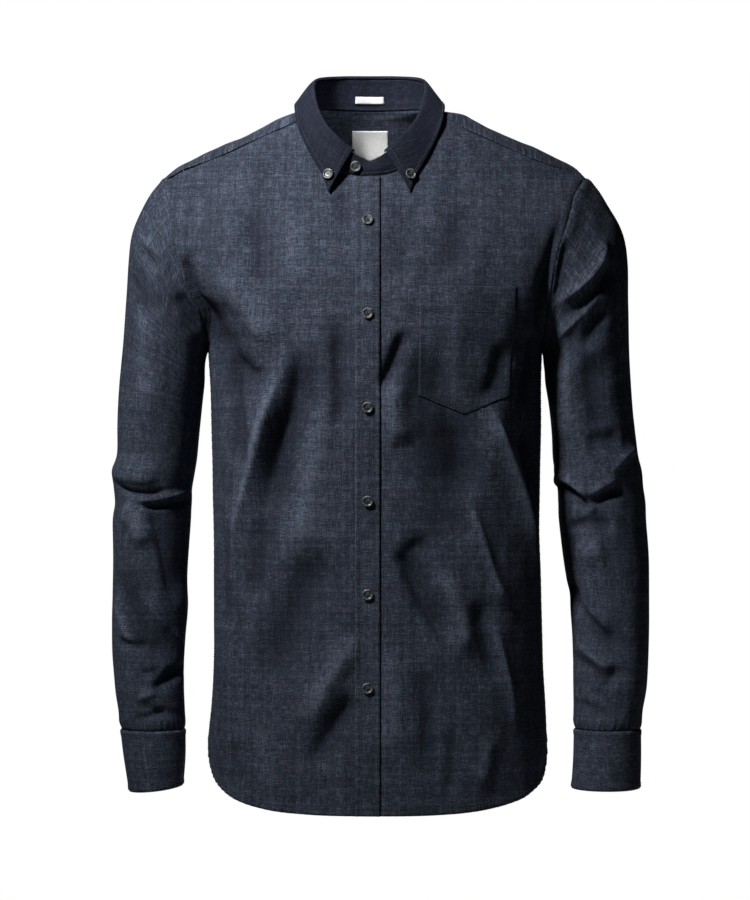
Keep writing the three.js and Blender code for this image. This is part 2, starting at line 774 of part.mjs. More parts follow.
const POCKET_CELLS = 8;
function pocketPanel(front) {
  const rows = steps(POCKET_CELLS).map((down) => steps(POCKET_CELLS).map((over) => {
    const level = lerp(POCKET.top, POCKET.bottom, down);
    const drop = (POCKET.bottom - POCKET.point) * (1 - Math.abs(2 * over - 1)) * down ** 4;
    const x = lerp(POCKET.inner, lerp(POCKET.outerTop, POCKET.outerBottom, down), over);
    return onFacets(front.rows, x, level - drop);
  }));
  return { rows, normals: rows.map((row) => row.map((at) => bodyNormal(at, "front"))) };
}

function lineAt(rows, sign, angle) {
  const out = read(rows, "angle", angle, "out");
  return point(NECK_MIDDLE + sign * out, read(rows, "angle", angle, "y"), read(rows, "angle", angle, "z"));
}

const outwardAt = (sign, angle) => point(sign * Math.sin(radians(angle)), -Math.cos(radians(angle)), 0);

// The stand runs from its right end, under the left one, round the back to its left end
const COLLAR_TURNS = [
  COLLAR_FRONT_ANGLE,
  ...NECK_FRONT_ANGLES.slice(1, -1),
  ...NECK_BACK_TURNS,
  ...NECK_FRONT_ANGLES.slice(1, -1).reverse().map((angle) => 360 - angle),
  360 - COLLAR_FRONT_ANGLE,
];
const STAND_TURNS = [
  -STAND_END_ANGLE, 0, NECK_EDGE_ANGLE,
  ...COLLAR_TURNS,
  360 - NECK_EDGE_ANGLE, 360, 360 + STAND_END_ANGLE,
];

function collarStand() {
  const columns = STAND_TURNS.map((turn) => {
    const sign = turn <= 180 ? -1 : 1;
    const angle = turn <= 180 ? turn : 360 - turn;
    const lap = (turn <= 180 ? -STAND_LAP : STAND_LAP) * (1 - smooth(angle, NECK_EDGE_ANGLE, COLLAR_FRONT_ANGLE));
    const out = outwardAt(sign, angle);
    const base = neckPoint(sign, Math.max(angle, STAND_BASE_FIRST_ANGLE));
    base.z += SEAM_GAP + STAND_EASE + STAND_LAP_RAISE * Math.abs(lap);
    const top = lineAt(FOLD_LINE, sign, angle);
    return { base: base.addScaledVector(out, lap), top: top.addScaledVector(out, lap), out };
  });
  const rows = STAND_ROWS.map((share) => columns.map(({ base, top }) => base.clone().lerp(top, share)));
  return { rows, normals: gridNormals(rows, false, (at, i, j) => columns[j].out) };
}

// A point on the collar: down runs from the fold line to the free edge
function collarPoint(sign, angle, down) {
  const fold = lineAt(FOLD_LINE, sign, angle);
  fold.z += FOLD_RISE;
  const at = fold.lerp(lineAt(COLLAR_EDGE, sign, angle), down);
  return at.addScaledVector(outwardAt(sign, angle), COLLAR_ROLL * Math.sqrt(down) * (1 - down));
}

function collarFall() {
  const place = (turn, down) => (turn <= 180 ? collarPoint(-1, turn, down) : collarPoint(1, 360 - turn, down));
  const rows = COLLAR_ROWS.map((down) => COLLAR_TURNS.map((turn) => place(turn, down)));
  const outs = COLLAR_TURNS.map((turn) => (turn <= 180 ? outwardAt(-1, turn) : outwardAt(1, 360 - turn)));
  return { rows, normals: gridNormals(rows, false, (at, i, j) => outs[j].clone().setZ(1)) };
}

// Labels inside the neck, on the yoke and on the stand
const NECK_LABEL = { left: 14.5, right: -25, top: 1.5, sides: -21.5, tip: -31.5, lift: 0.5 };
const NECK_LABEL_ROWS = [0, 0.35, 0.7, 1];
const NECK_LABEL_CELLS = 4;
const BAND_LABEL = { reach: 0.73, low: 0.22, high: 0.45, lift: 0.35 };

function neckLabel(yoke) {
  const rows = NECK_LABEL_ROWS.map((down) => steps(NECK_LABEL_CELLS).map((over) => {
    const tip = (NECK_LABEL.sides - NECK_LABEL.tip) * (1 - Math.abs(2 * over - 1)) * (down === 1 ? 1 : 0);
    const x = lerp(NECK_LABEL.right, NECK_LABEL.left, over);
    const z = lerp(NECK_LABEL.top, NECK_LABEL.sides, down) - tip;
    return onFacets(yoke.rows, x, z);
  }));
  return { rows, normals: rows.map((row) => row.map((at) => bodyNormal(at, "back"))) };
}

// The band label bends where the stand's own facets meet, at the middle of the back
function bandLabel(stand) {
  const middle = (STAND_TURNS.length - 1) / 2;
  const rows = [BAND_LABEL.low, BAND_LABEL.high].map((up) => [-1, 0, 1].map((side) => {
    const along = (row) => row[middle].clone().lerp(row[middle + side], Math.abs(side) * BAND_LABEL.reach);
    return along(stand.rows[0]).lerp(along(stand.rows[2]), up);
  }));
  return { rows, normals: gridNormals(rows, false, () => point(0, 1, 0)) };
}

// A button: a disc with a raised rim, its face along the given direction
function buttonGeometry() {
  const profile = [
    [0, 0],
    [BUTTON_RADIUS - 1, 0],
    [BUTTON_RADIUS, 1],
    [BUTTON_RADIUS - 0.5, BUTTON_THICKNESS],
    [BUTTON_RADIUS - 1.8, BUTTON_THICKNESS - 0.6],
    [0, BUTTON_THICKNESS - 0.6],
  ].map(([radius, height]) => new THREE.Vector2(radius, height));
  return new THREE.LatheGeometry(profile, BUTTON_SEGMENTS);
}

const DENIM = { color: 0x353b4a, roughness: 0.95, metalness: 0 };
const COLLAR_DENIM = { color: 0x262b38, roughness: 0.95, metalness: 0 };
const LABEL_WHITE = { color: 0xe4e4e6, roughness: 0.8, metalness: 0 };
const BUTTON_GREY = { color: 0x2c3234, roughness: 0.35, metalness: 0 };

const shirt = new THREE.Group();

function addMesh(name, geometry, finish) {
  const mesh = new THREE.Mesh(geometry, new THREE.MeshStandardMaterial(finish));
  mesh.name = name;
  shirt.add(mesh);
  return mesh;
}

function addWall(name, panel, thickness, finish, closedAround = false, lift = 0) {
  addMesh(name, wall(panel.rows, panel.normals, thickness, closedAround, lift), finish);
}

function addButton(name, at, normal) {
  const mesh = addMesh(name, buttonGeometry(), BUTTON_GREY);
  mesh.quaternion.setFromUnitVectors(point(0, 1, 0), normal);
  mesh.position.copy(at);
}

// Fronts, band, yoke, back and pocket
const frontLeft = frontPanel(1);
const yoke = yokePanel();
const stand = collarStand();
addWall("front_right", trimmed(frontPanel(-1)), CLOTH, DENIM);
addWall("front_left", trimmed(frontLeft), CLOTH, DENIM);
addWall("placket", placketPanel(), CLOTH, DENIM, false, PLACKET_LIFT + CLOTH);
addWall("yoke", trimmed(yoke), CLOTH, DENIM);
addWall("back", trimmed(backPanel()), CLOTH, DENIM);
addWall("pocket", pocketPanel(frontLeft), CLOTH, DENIM, false, POCKET_LIFT + CLOTH);

// Sleeves and cuffs
const sleeves = { right: sleevePanel(-1, SLEEVE_RIGHT), left: sleevePanel(1, SLEEVE_LEFT) };
const cuffs = { right: cuffPanel(-1, CUFF_RIGHT), left: cuffPanel(1, CUFF_LEFT) };
for (const side of ["right", "left"]) {
  addWall(`sleeve_${side}`, sleeves[side], CLOTH, DENIM, true);
  addWall(`sleeve_placket_${side}`, sleevePlacket(sleeves[side]), CLOTH, DENIM, false, PLACKET_LIFT + CLOTH);
  addWall(`cuff_${side}`, cuffs[side], CUFF_CLOTH, DENIM, true);
}

// Collar and labels
addWall("collar_stand", stand, COLLAR_CLOTH, COLLAR_DENIM);
addWall("collar", collarFall(), COLLAR_CLOTH, COLLAR_DENIM);
addWall("neck_label", neckLabel(yoke), LABEL_CLOTH, LABEL_WHITE, false, -CLOTH - NECK_LABEL.lift);
addWall("band_label", bandLabel(stand), LABEL_CLOTH, LABEL_WHITE, false, -COLLAR_CLOTH - BAND_LABEL.lift);

// Buttons down the band, on the collar points, on the stand and on the cuffs
for (let k = 0; k < FRONT_BUTTONS; k += 1) {
  const z = FIRST_BUTTON - k * BUTTON_PITCH;
  const at = point(BUTTON_LINE, -bodyDepth(BUTTON_LINE, z, "front"), z);
  const normal = bodyNormal(at, "front");
  const height = PLACKET_LIFT + CLOTH + SEAM_GAP;
  addButton(`front_button_${k + 1}`, at.addScaledVector(normal, height), normal);
}

const COLLAR_BUTTON = { angle: 21.7, down: 0.8, lift: 0.6 };
for (const [side, sign] of [["right", -1], ["left", 1]]) {
  const { angle, down } = COLLAR_BUTTON;
  const at = collarPoint(sign, angle, down);
  const along = collarPoint(sign, angle + 1, down).sub(at);
  const across = collarPoint(sign, angle, down + 0.02).sub(at);
  const normal = along.cross(across).normalize();
  if (normal.y > 0) {
    normal.negate();
  }
  addButton(`collar_button_${side}`, at.addScaledVector(normal, COLLAR_BUTTON.lift), normal);
}

const STAND_BUTTON = { angle: 11.5, up: 0.42, lift: 1.2 };
const standOut = outwardAt(-1, STAND_BUTTON.angle);
const standAt = neckPoint(-1, STAND_BUTTON.angle).lerp(lineAt(FOLD_LINE, -1, STAND_BUTTON.angle), STAND_BUTTON.up);
addButton("stand_button", standAt.addScaledVector(standOut, STAND_BUTTON.lift), standOut);

const CUFF_BUTTON_ANGLE = -108;
for (const [side, sign] of [["right", -1], ["left", 1]]) {
  const j = RING_ANGLES.findIndex((angle) => Math.abs(angle - CUFF_BUTTON_ANGLE) < 1);
  const { rows, normals } = cuffs[side];
  addButton(`cuff_button_${side}`, rows[1][j].clone().addScaledVector(normals[1][j], SEAM_GAP), normals[1][j]);
}

export default shirt;
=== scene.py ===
"""Looks of a denim shirt, filled out with no wearer. Sizes are millimetres until a mesh is made."""
import math

import bpy
import numpy as np
from mathutils import Matrix, Vector


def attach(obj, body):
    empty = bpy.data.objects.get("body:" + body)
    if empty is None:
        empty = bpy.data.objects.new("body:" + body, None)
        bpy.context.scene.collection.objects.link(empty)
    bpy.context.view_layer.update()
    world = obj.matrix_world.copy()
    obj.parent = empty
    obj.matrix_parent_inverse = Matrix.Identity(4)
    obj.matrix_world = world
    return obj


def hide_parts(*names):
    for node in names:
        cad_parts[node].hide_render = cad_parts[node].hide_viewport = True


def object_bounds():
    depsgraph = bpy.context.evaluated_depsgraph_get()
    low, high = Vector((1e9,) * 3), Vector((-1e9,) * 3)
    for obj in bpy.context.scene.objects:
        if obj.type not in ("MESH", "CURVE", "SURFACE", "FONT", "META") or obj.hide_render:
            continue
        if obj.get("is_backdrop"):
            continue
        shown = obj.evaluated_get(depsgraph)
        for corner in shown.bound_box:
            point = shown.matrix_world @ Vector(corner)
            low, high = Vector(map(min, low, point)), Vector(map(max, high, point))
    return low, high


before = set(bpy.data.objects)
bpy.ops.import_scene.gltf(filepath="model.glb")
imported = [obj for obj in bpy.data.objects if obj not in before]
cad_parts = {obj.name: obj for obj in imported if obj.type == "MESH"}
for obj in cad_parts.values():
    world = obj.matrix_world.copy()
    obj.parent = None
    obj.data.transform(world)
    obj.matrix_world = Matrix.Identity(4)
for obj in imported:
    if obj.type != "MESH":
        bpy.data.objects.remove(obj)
CAD_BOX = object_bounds()

METRES = 0.001

# Camera and floor, in metres
CAMERA_PLACE = (0.0, -3.2, -0.348)
CAMERA_LENS = 79.75
SENSOR_HEIGHT = 24.0
FLOOR_HEIGHT = -1.28
FLOOR_RADIUS = 2.6

# Body sizes, as the solids have them
SEAM_GAP = 0.3
CLOTH = 1.0
ARMHOLE_TOP = -57.0
ARMHOLE_BOTTOM = -235.0
ARMHOLE_FRONT = 75.0
ARMHOLE_BACK = 80.0
FRONT_SEAM_ANGLE = 18.0
BACK_SEAM_ANGLE = -54.0
NECK_MIDDLE = -5.8
NECK_HALF_WIDTH = 72.0
SHOULDER_SEAM_ANGLE = 80.4
NECK_EDGE_ANGLE = 8.1
FRONT_EDGE = 4.0
PLACKET_RIGHT = -20.5
PLACKET_LEFT = 5.3
BUTTON_LINE = -7.6
HEM_FRONT = -726.0
HEM_BACK = -729.0
HEM_SIDE = -655.0
HEM_POWER = 3.0
COLUMN_SPREAD = 1.5

# Height, then the half width of the shoulders on the right and on the left
SHOULDER_LINE = [
    (21, 75, 64), (16, 78, 67), (10.7, 92, 94), (5.3, 104, 105), (-7.5, 130.5, 130.5),
    (-20.3, 161, 158), (-33.2, 189, 187.5), (-46, 212.5, 212), (-57, 224.5, 224.5),
]
ARMHOLE = [
    (-57, 224.5, 224.5), (-77, 219.5, 211), (-103, 213.6, 203.3), (-139, 208, 191.5), (-170, 200.5, 186),
    (-188.5, 191.5, 183.5), (-202.5, 183, 181), (-227, 178, 178.5), (-235, 176.8, 177.8),
]
TRUNK_SIDES = [
    (-235, 176.8, 177.8), (-280, 174.8, 175.5), (-350, 173.5, 175.5), (-430, 172.2, 176), (-500, 172, 178),
    (-570, 172.2, 178.8), (-620, 173.6, 180.8), (-655, 176, 182), (-730, 177, 182),
]
# Height, depth to the front and to the back, and how square the section is
PROFILE = [
    (21, 6, 62, 2), (16, 16, 65, 2), (11, 30, 68, 2), (3, 38, 72, 2), (-7.5, 45, 77, 2), (-20, 52.5, 82, 2.05),
    (-33, 58, 86.5, 2.05), (-46, 62, 90.5, 2.1), (-62, 68, 95, 2.1), (-80, 77, 100, 2.2), (-110, 92, 106, 2.3),
    (-146, 105, 111, 2.4), (-180, 113, 113.5, 2.5), (-210, 118, 114, 2.5), (-235, 120, 113, 2.5),
    (-300, 119, 108, 2.5), (-400, 112, 100, 2.5), (-500, 110, 100, 2.5), (-600, 112, 106, 2.5),
    (-730, 116, 112, 2.5),
]
SHOULDER_SEAM = [
    (62, 7), (78, 3), (108, -10), (134, -22), (163, -35.5), (187, -44.5), (208, -51.5), (224, -61.5),
]
NECK_SEAM = [
    (-10, -61.5), (0, -62), (20, -58), (40, -45), (60, -24), (80, 3), (90, 11), (100, 16), (120, 19.5),
    (150, 21), (180, 21),
]
# Angle, then how far out, y and height of the stand's fold line and of the collar's free edge
FOLD_LINE = [
    (-10, -9, -64.5, -46), (0, 0, -64.5, -45), (8, 9, -65.5, -41), (14, 16, -66, -36), (28, 30, -63, -24.5),
    (45, 43.5, -54, -10.5), (62, 53, -38, 6.5), (80, 59, -14, 27), (100, 60.3, 10, 43), (120, 55, 31, 51),
    (150, 31, 52, 55.5), (180, 0, 58, 56.4),
]
COLLAR_EDGE = [
    (14, 43, -79.6, -79), (28, 50, -70.5, -60), (45, 60, -63.5, -42), (62, 69, -55, -24), (80, 77.5, -40, -1),
    (90, 80.5, -19, 15.5), (100, 80.5, 3, 20.5), (120, 74, 34, 18), (150, 42, 64, 14.5), (180, 0, 74, 14),
]
COLLAR_FRONT_ANGLE = 14.0
FOLD_RISE = 2.9
COLLAR_ROLL = 6.0
STAND_LAP = 1.05
STAND_END_ANGLE = 7.7

# Outer x and z, inner x and z, middle and half of the depth, ring by ring down each sleeve and cuff
SLEEVE_RIGHT = [
    (224.5, -57, 176.8, -235, -2.5, 77.5), (238, -70, 178.5, -240, 1, 77), (250, -90, 180, -245, 2, 76),
    (260.5, -117, 181, -250, 3, 74), (265, -150, 182, -256, 4, 71), (267, -190, 182.5, -264, 4, 68),
    (269, -235, 183, -277, 5, 65), (272, -280, 186, -300, 6, 62), (274.5, -320, 189.5, -330, 7, 59),
    (276, -352, 192, -356, 8, 57), (282, -370, 194.5, -373, 8, 58), (280.5, -388, 197, -390, 7, 54),
    (279.5, -405, 197, -404, 6, 53), (282, -425, 197.5, -425, 5, 54), (281, -470, 198.5, -470, 1, 51),
    (281, -520, 199, -520, -4, 48), (279.5, -565, 203, -565, -9, 44), (275, -600, 204, -600, -14, 41),
    (270.5, -625, 203, -625, -18, 38.5), (269.5, -643.2, 202, -643.2, -20, 37.5),
]
SLEEVE_LEFT = [
    (224.5, -57, 177.8, -235, -2.5, 77.5), (240, -70, 179.5, -240, 1, 77), (253, -90, 180.5, -245, 2, 76),
    (265.5, -117, 181, -250, 3, 74), (270.5, -150, 181.5, -256, 4, 71), (271, -190, 182.5, -264, 4, 68),
    (272, -235, 183.5, -277, 5, 65), (274, -280, 187, -300, 6, 62), (277.5, -320, 190, -330, 7, 59),
    (281, -352, 191, -356, 8, 57), (285, -370, 193.5, -373, 8, 57), (286.5, -388, 196, -390, 7, 54),
    (289, -405, 197, -404, 6, 53), (290, -425, 197.5, -425, 5, 54), (293, -470, 202, -470, 1, 51),
    (293, -520, 208.5, -520, -4, 48), (292, -565, 212, -565, -9, 44), (289.5, -600, 213, -600, -14, 41),
    (284.5, -625, 213, -625, -18, 38.5), (282.5, -643.2, 212.5, -643.2, -20, 37.5),
]
ARMHOLE_FADE = [1, 0.8, 0.6, 0.4, 0.2, 0.1] + [0] * 14
CUFFS = {
    "right": [
        (269.5, -643.8, 202, -643.8, -20, 39), (266, -675, 201.5, -673, -24, 40),
        (261.5, -709, 203, -703, -28, 41),
    ],
    "left": [
        (282.5, -643.8, 212.5, -643.8, -20, 39), (282.5, -675, 211, -675, -24, 40),
        (281.5, -706, 208, -706, -28, 41),
    ],
}
POCKET = {"inner": 46, "outer_top": 146.5, "outer_bottom": 140, "top": -178.5, "bottom": -292, "point": -311.5}
FIRST_BUTTON = -110.6
BUTTON_PITCH = 96.7

# Folds: height, width on each side, 1 for a crisp ridge, then points (x, z) as seen from the front.
# The first width is on the wearer's right of a line that runs down, and below one that runs across.
FRONT_FOLDS = [
    (-5.5, 22, 20, 0, (-178, -184), (-167, -223), (-148, -259), (-107, -283)),
    (3.5, 10, 24, 0, (-165, -153), (-136, -205), (-101, -246)),
    (-2.5, 7, 6, 0, (-154, -246), (-134, -267), (-111, -267)),
    (-8, 10, 26, 0, (-75, -234), (-84, -296), (-105, -353), (-121, -446)),
    (-4, 12, 14, 0, (-113, -412), (-123, -462), (-130, -514)),
    (5.5, 11, 8, 1, (-90, -244), (-111, -308), (-130, -379), (-144, -431), (-157, -507)),
    (2.4, 4, 5, 1, (-109, -275), (-120, -322), (-133, -368)),
    (-5, 14, 9, 0, (-159, -246), (-144, -313), (-138, -375)),
    (-3, 12, 14, 0, (-152, -420), (-159, -483), (-154, -545)),
    (4.5, 20, 22, 0, (-57, -270), (-63, -379), (-82, -483)),
    (-3.5, 9, 12, 0, (-40, -198), (-35, -275), (-38, -337)),
    (-4.5, 22, 24, 0, (-47, -441), (-82, -519), (-117, -597)),
    (4, 14, 12, 0, (-18, -536), (-45, -586), (-78, -646)),
    (-4, 9, 15, 0, (-20, -597), (-42, -632), (-67, -675)),
    (-4, 6, 9, 0, (32, -221), (19, -254), (5, -292)),
    (3.5, 14, 12, 0, (24, -263), (22, -311), (30, -348)),
    (-6, 30, 15, 0, (57, -228), (69, -296), (88, -350), (103, -406)),
    (-2.6, 34, 34, 0, (67, -306), (76, -379), (74, -462)),
    (-3, 10, 14, 0, (133, -232), (127, -267), (113, -304)),
    (6.5, 16, 11, 1, (115, -294), (136, -348), (157, -410), (168, -483)),
    (-6, 12, 16, 0, (154, -317), (167, -379), (171, -462)),
    (3.8, 9, 8, 1, (92, -381), (111, -441), (126, -487), (142, -516)),
    (3.2, 9, 7, 1, (117, -509), (135, -574), (150, -653)),
    (-3, 15, 9, 0, (20, -472), (38, -451), (63, -441)),
    (-5, 7, 18, 0, (26, -453), (47, -501), (80, -555)),
    (3.5, 14, 12, 0, (63, -462), (88, -514), (98, -570)),
    (-3, 12, 12, 0, (107, -499), (117, -545), (127, -597)),
    (3, 14, 14, 0, (18, -545), (22, -607), (18, -679)),
    (-3, 12, 14, 0, (51, -565), (57, -628), (51, -700)),
    (-2, 8, 8, 0, (-149, -648), (-146, -674), (-140, -702)),
    (2, 9, 9, 0, (-117, -633), (-115, -674), (-111, -711)),
    (-2, 9, 9, 0, (83, -628), (80, -674), (77, -711)),
    (2, 8, 9, 0, (117, -643), (115, -674), (109, -702)),
    (-6, 12, 10, 0, (202, -94), (188, -153), (177, -192), (174, -232)),
    (-4, 10, 12, 0, (171, -218), (162, -260), (152, -306)),
    (-4, 9, 9, 0, (-201, -140), (-192, -178), (-175, -215)),
    (-2, 10, 12, 0, (-38, -78), (-30, -94), (-22, -116)),
    (-2, 12, 14, 0, (-130, -89), (-117, -140), (-113, -192)),
    (2, 16, 14, 0, (-78, -94), (-76, -140), (-80, -203)),
    (-2.4, 18, 14, 0, (103, -78), (90, -130), (80, -172)),
    (-2, 14, 12, 0, (38, -84), (32, -130), (30, -182)),
]
BACK_FOLDS = [
    (-6, 16, 12, 0, (-168, -190), (-150, -240), (-122, -275), (-80, -290)),
    (-6, 12, 16, 0, (170, -195), (150, -250), (120, -285), (84, -298)),
    (4, 12, 8, 1, (-90, -262), (-112, -340), (-132, -430), (-140, -500)),
    (4, 8, 13, 1, (96, -268), (114, -350), (136, -440)),
    (-4, 18, 16, 0, (-62, -300), (-48, -390), (-30, -480)),
    (-4, 16, 20, 0, (70, -320), (58, -420), (40, -530)),
    (3.2, 20, 20, 0, (-8, -230), (-4, -340), (6, -430)),
    (-3.6, 22, 18, 0, (-112, -470), (-80, -550), (-62, -630)),
    (3, 14, 12, 0, (118, -480), (96, -560), (90, -640)),
    (-2.5, 12, 14, 0, (20, -560), (34, -620), (30, -690)),
    (1.8, 10, 12, 0, (-60, -640), (-56, -690), (-58, -726)),
    (-2, 9, 9, 0, (140, -600), (132, -640), (130, -680)),
]
SLEEVE_RIGHT_FOLDS = [
    (2.2, 5, 5, 1, (-252, -118), (-237, -134), (-216, -150)),
    (-2.2, 5, 6, 0, (-248, -135), (-237, -147), (-224, -160)),
    (-3, 9, 12, 0, (-260, -160), (-247, -187), (-234, -213)),
    (-2.6, 9, 9, 0, (-208, -181), (-197, -202), (-185, -225)),
    (3, 14, 14, 0, (-242, -190), (-239, -253), (-239, -327)),
    (2.2, 6, 18, 0, (-282, -371), (-265, -377), (-246, -380), (-225, -377)),
    (-3, 2.6, 3.4, 0, (-280, -379), (-261, -392), (-237, -394), (-210, -389)),
    (2.2, 3, 3, 1, (-265, -399), (-237, -401), (-208, -395), (-195, -386)),
    (-3.8, 3, 3.6, 0, (-257, -407), (-231, -408), (-204, -405), (-189, -403)),
    (-3.6, 8, 34, 0, (-244, -405), (-229, -432), (-218, -476), (-214, -517)),
    (5, 12, 14, 0, (-271, -413), (-252, -424), (-246, -455)),
    (-6, 9, 28, 0, (-277, -470), (-261, -519), (-239, -552), (-210, -578)),
    (4, 12, 7, 1, (-277, -495), (-267, -532), (-249, -559)),
    (3.6, 11, 6, 1, (-245, -495), (-225, -529), (-201, -561)),
    (-3, 5, 5, 0, (-273, -549), (-256, -553), (-237, -555)),
    (-5, 7, 7, 0, (-235, -607), (-220, -590), (-201, -574)),
    (-1.5, 6, 4, 0, (-251, -583), (-237, -582), (-223, -577)),
    (-2, 5, 5, 0, (-247, -611), (-227, -624), (-201, -630)),
    (2.6, 5, 5, 1, (-254, -614), (-237, -605), (-216, -595)),
    (-2.4, 4, 4, 0, (-258, -633), (-237, -628), (-218, -620)),
]
SLEEVE_LEFT_FOLDS = [
    (5.5, 9, 6, 1, (244, -120), (234, -154), (214, -178), (181, -199)),
    (-4, 7, 9, 0, (249, -145), (239, -173), (220, -194), (195, -215)),
    (4, 10, 7, 1, (244, -171), (227, -194), (206, -217), (190, -236)),
    (-4, 8, 10, 0, (242, -195), (231, -216), (216, -244)),
    (-6, 9, 10, 0, (195, -118), (187, -158), (179, -200)),
    (3.5, 16, 16, 0, (201, -242), (201, -295), (206, -346)),
    (-5, 14, 16, 0, (227, -242), (229, -295), (244, -335)),
    (-4.5, 14, 10, 0, (220, -344), (239, -337), (261, -335)),
    (4, 9, 6, 1, (277, -344), (264, -355), (249, -373)),
    (4.6, 6, 12, 1, (186, -367), (208, -382), (228, -404)),
    (-4.2, 6, 6, 0, (187, -377), (210, -394), (230, -413)),
    (-4.6, 7, 6, 0, (225, -407), (244, -396), (265, -387)),
    (3.5, 6, 10, 1, (224, -399), (239, -388), (258, -376)),
    (-4, 7, 8, 0, (229, -407), (237, -422), (251, -438)),
    (-3.2, 5, 6, 0, (203, -434), (223, -424), (246, -429)),
    (4, 14, 12, 0, (210, -447), (227, -455), (244, -451)),
    (-5.5, 9, 12, 0, (199, -481), (216, -514), (237, -541), (271, -569)),
    (4, 6, 10, 1, (210, -493), (227, -519), (252, -544)),
    (-3, 7, 6, 0, (212, -562), (227, -578), (241, -593)),
    (-3, 8, 8, 0, (237, -601), (248, -588), (261, -574)),
    (3.6, 6, 7, 1, (214, -548), (233, -569), (252, -582)),
    (-2, 7, 6, 0, (227, -597), (244, -611), (264, -628)),
    (-2.4, 5, 5, 0, (210, -614), (229, -620), (248, -629)),
]


def read(rows, at, column):
    """Reads a column of a table at any key, along a smooth curve through its rows."""
    rows = np.asarray(rows, float)
    if rows[-1, 0] < rows[0, 0]:
        rows = rows[::-1]
    keys, values = rows[:, 0], rows[:, column]
    slopes = np.empty(len(rows))
    slopes[1:-1] = (values[2:] - values[:-2]) / (keys[2:] - keys[:-2])
    slopes[0] = (values[1] - values[0]) / (keys[1] - keys[0])
    slopes[-1] = (values[-1] - values[-2]) / (keys[-1] - keys[-2])
    at = np.clip(np.asarray(at, float), keys[0], keys[-1])
    i = np.clip(np.searchsorted(keys, at, side="right") - 1, 0, len(rows) - 2)
    span = keys[i + 1] - keys[i]
    t = (at - keys[i]) / span
    start, end, rise = slopes[i] * span, slopes[i + 1] * span, values[i + 1] - values[i]
    return values[i] + t * (start + t * (3 * rise - 2 * start - end + t * (start + end - 2 * rise)))


def smooth(value, low, high):
    t = np.clip((np.asarray(value, float) - low) / (high - low), 0, 1)
    return t * t * (3 - 2 * t)


def unit(vectors):
    return vectors / np.maximum(np.linalg.norm(vectors, axis=-1, keepdims=True), 1e-9)


def by_side(rows, x, z):
    """Reads a table with one column for the wearer's right and one for the left."""
    return np.where(x < 0, read(rows, z, 1), read(rows, z, 2))


# The body surface: a level section at each height, a quarter of a rounded oval per side and facing
def section(z, back):
    return np.where(back, read(PROFILE, z, 2), read(PROFILE, z, 1)), read(PROFILE, z, 3)


def half_width(x, z, back):
    middle, half = (ARMHOLE_TOP + ARMHOLE_BOTTOM) / 2, (ARMHOLE_TOP - ARMHOLE_BOTTOM) / 2
    reach = np.where(back, ARMHOLE_BACK, ARMHOLE_FRONT)
    hole = reach * np.sqrt(np.maximum(0, 1 - ((z - middle) / half) ** 2))
    depth, power = section(z, back)
    share = np.minimum((hole / depth) ** power, 0.98)
    between = by_side(ARMHOLE, x, z) / (1 - share) ** (1 / power)
    width = np.where(z >= ARMHOLE_TOP, by_side(SHOULDER_LINE, x, z), by_side(TRUNK_SIDES, x, z))
    return np.where((z < ARMHOLE_TOP) & (z > ARMHOLE_BOTTOM), between, width)


def body_depth(x, z, back):
    depth, power = section(z, back)
    share = (np.abs(x) / half_width(x, z, back)) ** power
    return depth * np.maximum(0, 1 - share) ** (1 / power)


def body_at(x, z, back=False):
    x, z = np.broadcast_arrays(np.asarray(x, float), np.asarray(z, float))
    return np.stack([x, body_depth(x, z, back) * (1 if back else -1), z], axis=-1)


def body_point(across, z, back):
    """A point of the body at a share of the way across its section, from -1 to 1."""
    depth, power = section(z, back)
    part = np.minimum(np.abs(across), 1)
    near, far = part ** (power / 2), (1 - part) ** (power / 2)
    angle = near / (near + far) * math.pi / 2
    x = half_width(across, z, back) * np.sin(angle) ** (2 / power) * np.sign(across)
    y = depth * np.maximum(0, np.cos(angle)) ** (2 / power)
    return np.stack([x, y if back else -y, np.broadcast_to(z, x.shape)], axis=-1)


def across_at(x, z, back):
    """The share across the section at an x, the reverse of body_point."""
    depth, power = section(z, back)
    ratio = np.minimum(np.abs(x) / half_width(x, z, back), 1)
    share = np.minimum(np.arcsin(ratio ** (power / 2)) / (math.pi / 2), 0.999999)
    odds = (share / (1 - share)) ** (2 / power)
    return np.where(share > 0.99999, 1.0, odds / (1 + odds)) * np.sign(x)


def armhole_point(sign, angle):
    """A point of the armhole seam, its angle from the top towards the front."""
    angle = np.asarray(angle, float)
    middle, half = (ARMHOLE_TOP + ARMHOLE_BOTTOM) / 2, (ARMHOLE_TOP - ARMHOLE_BOTTOM) / 2
    z = middle + half * np.cos(np.radians(angle))
    reach = np.where(angle > 0, ARMHOLE_FRONT, ARMHOLE_BACK)
    x = sign * read(ARMHOLE, z, 1 if sign < 0 else 2)
    return np.stack([x, -reach * np.sin(np.radians(angle)), z], axis=-1)


def neck_point(sign, angle):
    """A point of the neck seam, its angle from the middle of the front."""
    angle = np.asarray(angle, float)
    x = NECK_MIDDLE + sign * NECK_HALF_WIDTH * np.sin(np.radians(angle))
    z = read(NECK_SEAM, angle, 1)
    y = np.where(angle < 100, -body_depth(x, z, False), body_depth(x, z, True))
    return np.stack([x, y, z], axis=-1)


def shoulder_seam(sign, t):
    start, end = neck_point(sign, SHOULDER_SEAM_ANGLE), armhole_point(sign, FRONT_SEAM_ANGLE)
    x = start[0] + (end[0] - start[0]) * t
    first, last = read(SHOULDER_SEAM, abs(start[0]), 1), read(SHOULDER_SEAM, abs(end[0]), 1)
    z = start[2] + (end[2] - start[2]) * t + read(SHOULDER_SEAM, np.abs(x), 1) - (first + (last - first) * t)
    points = np.stack([x, -body_depth(x, z, False), z], axis=-1)
    points[t <= 0] = start
    points[t >= 1] = end
    return points


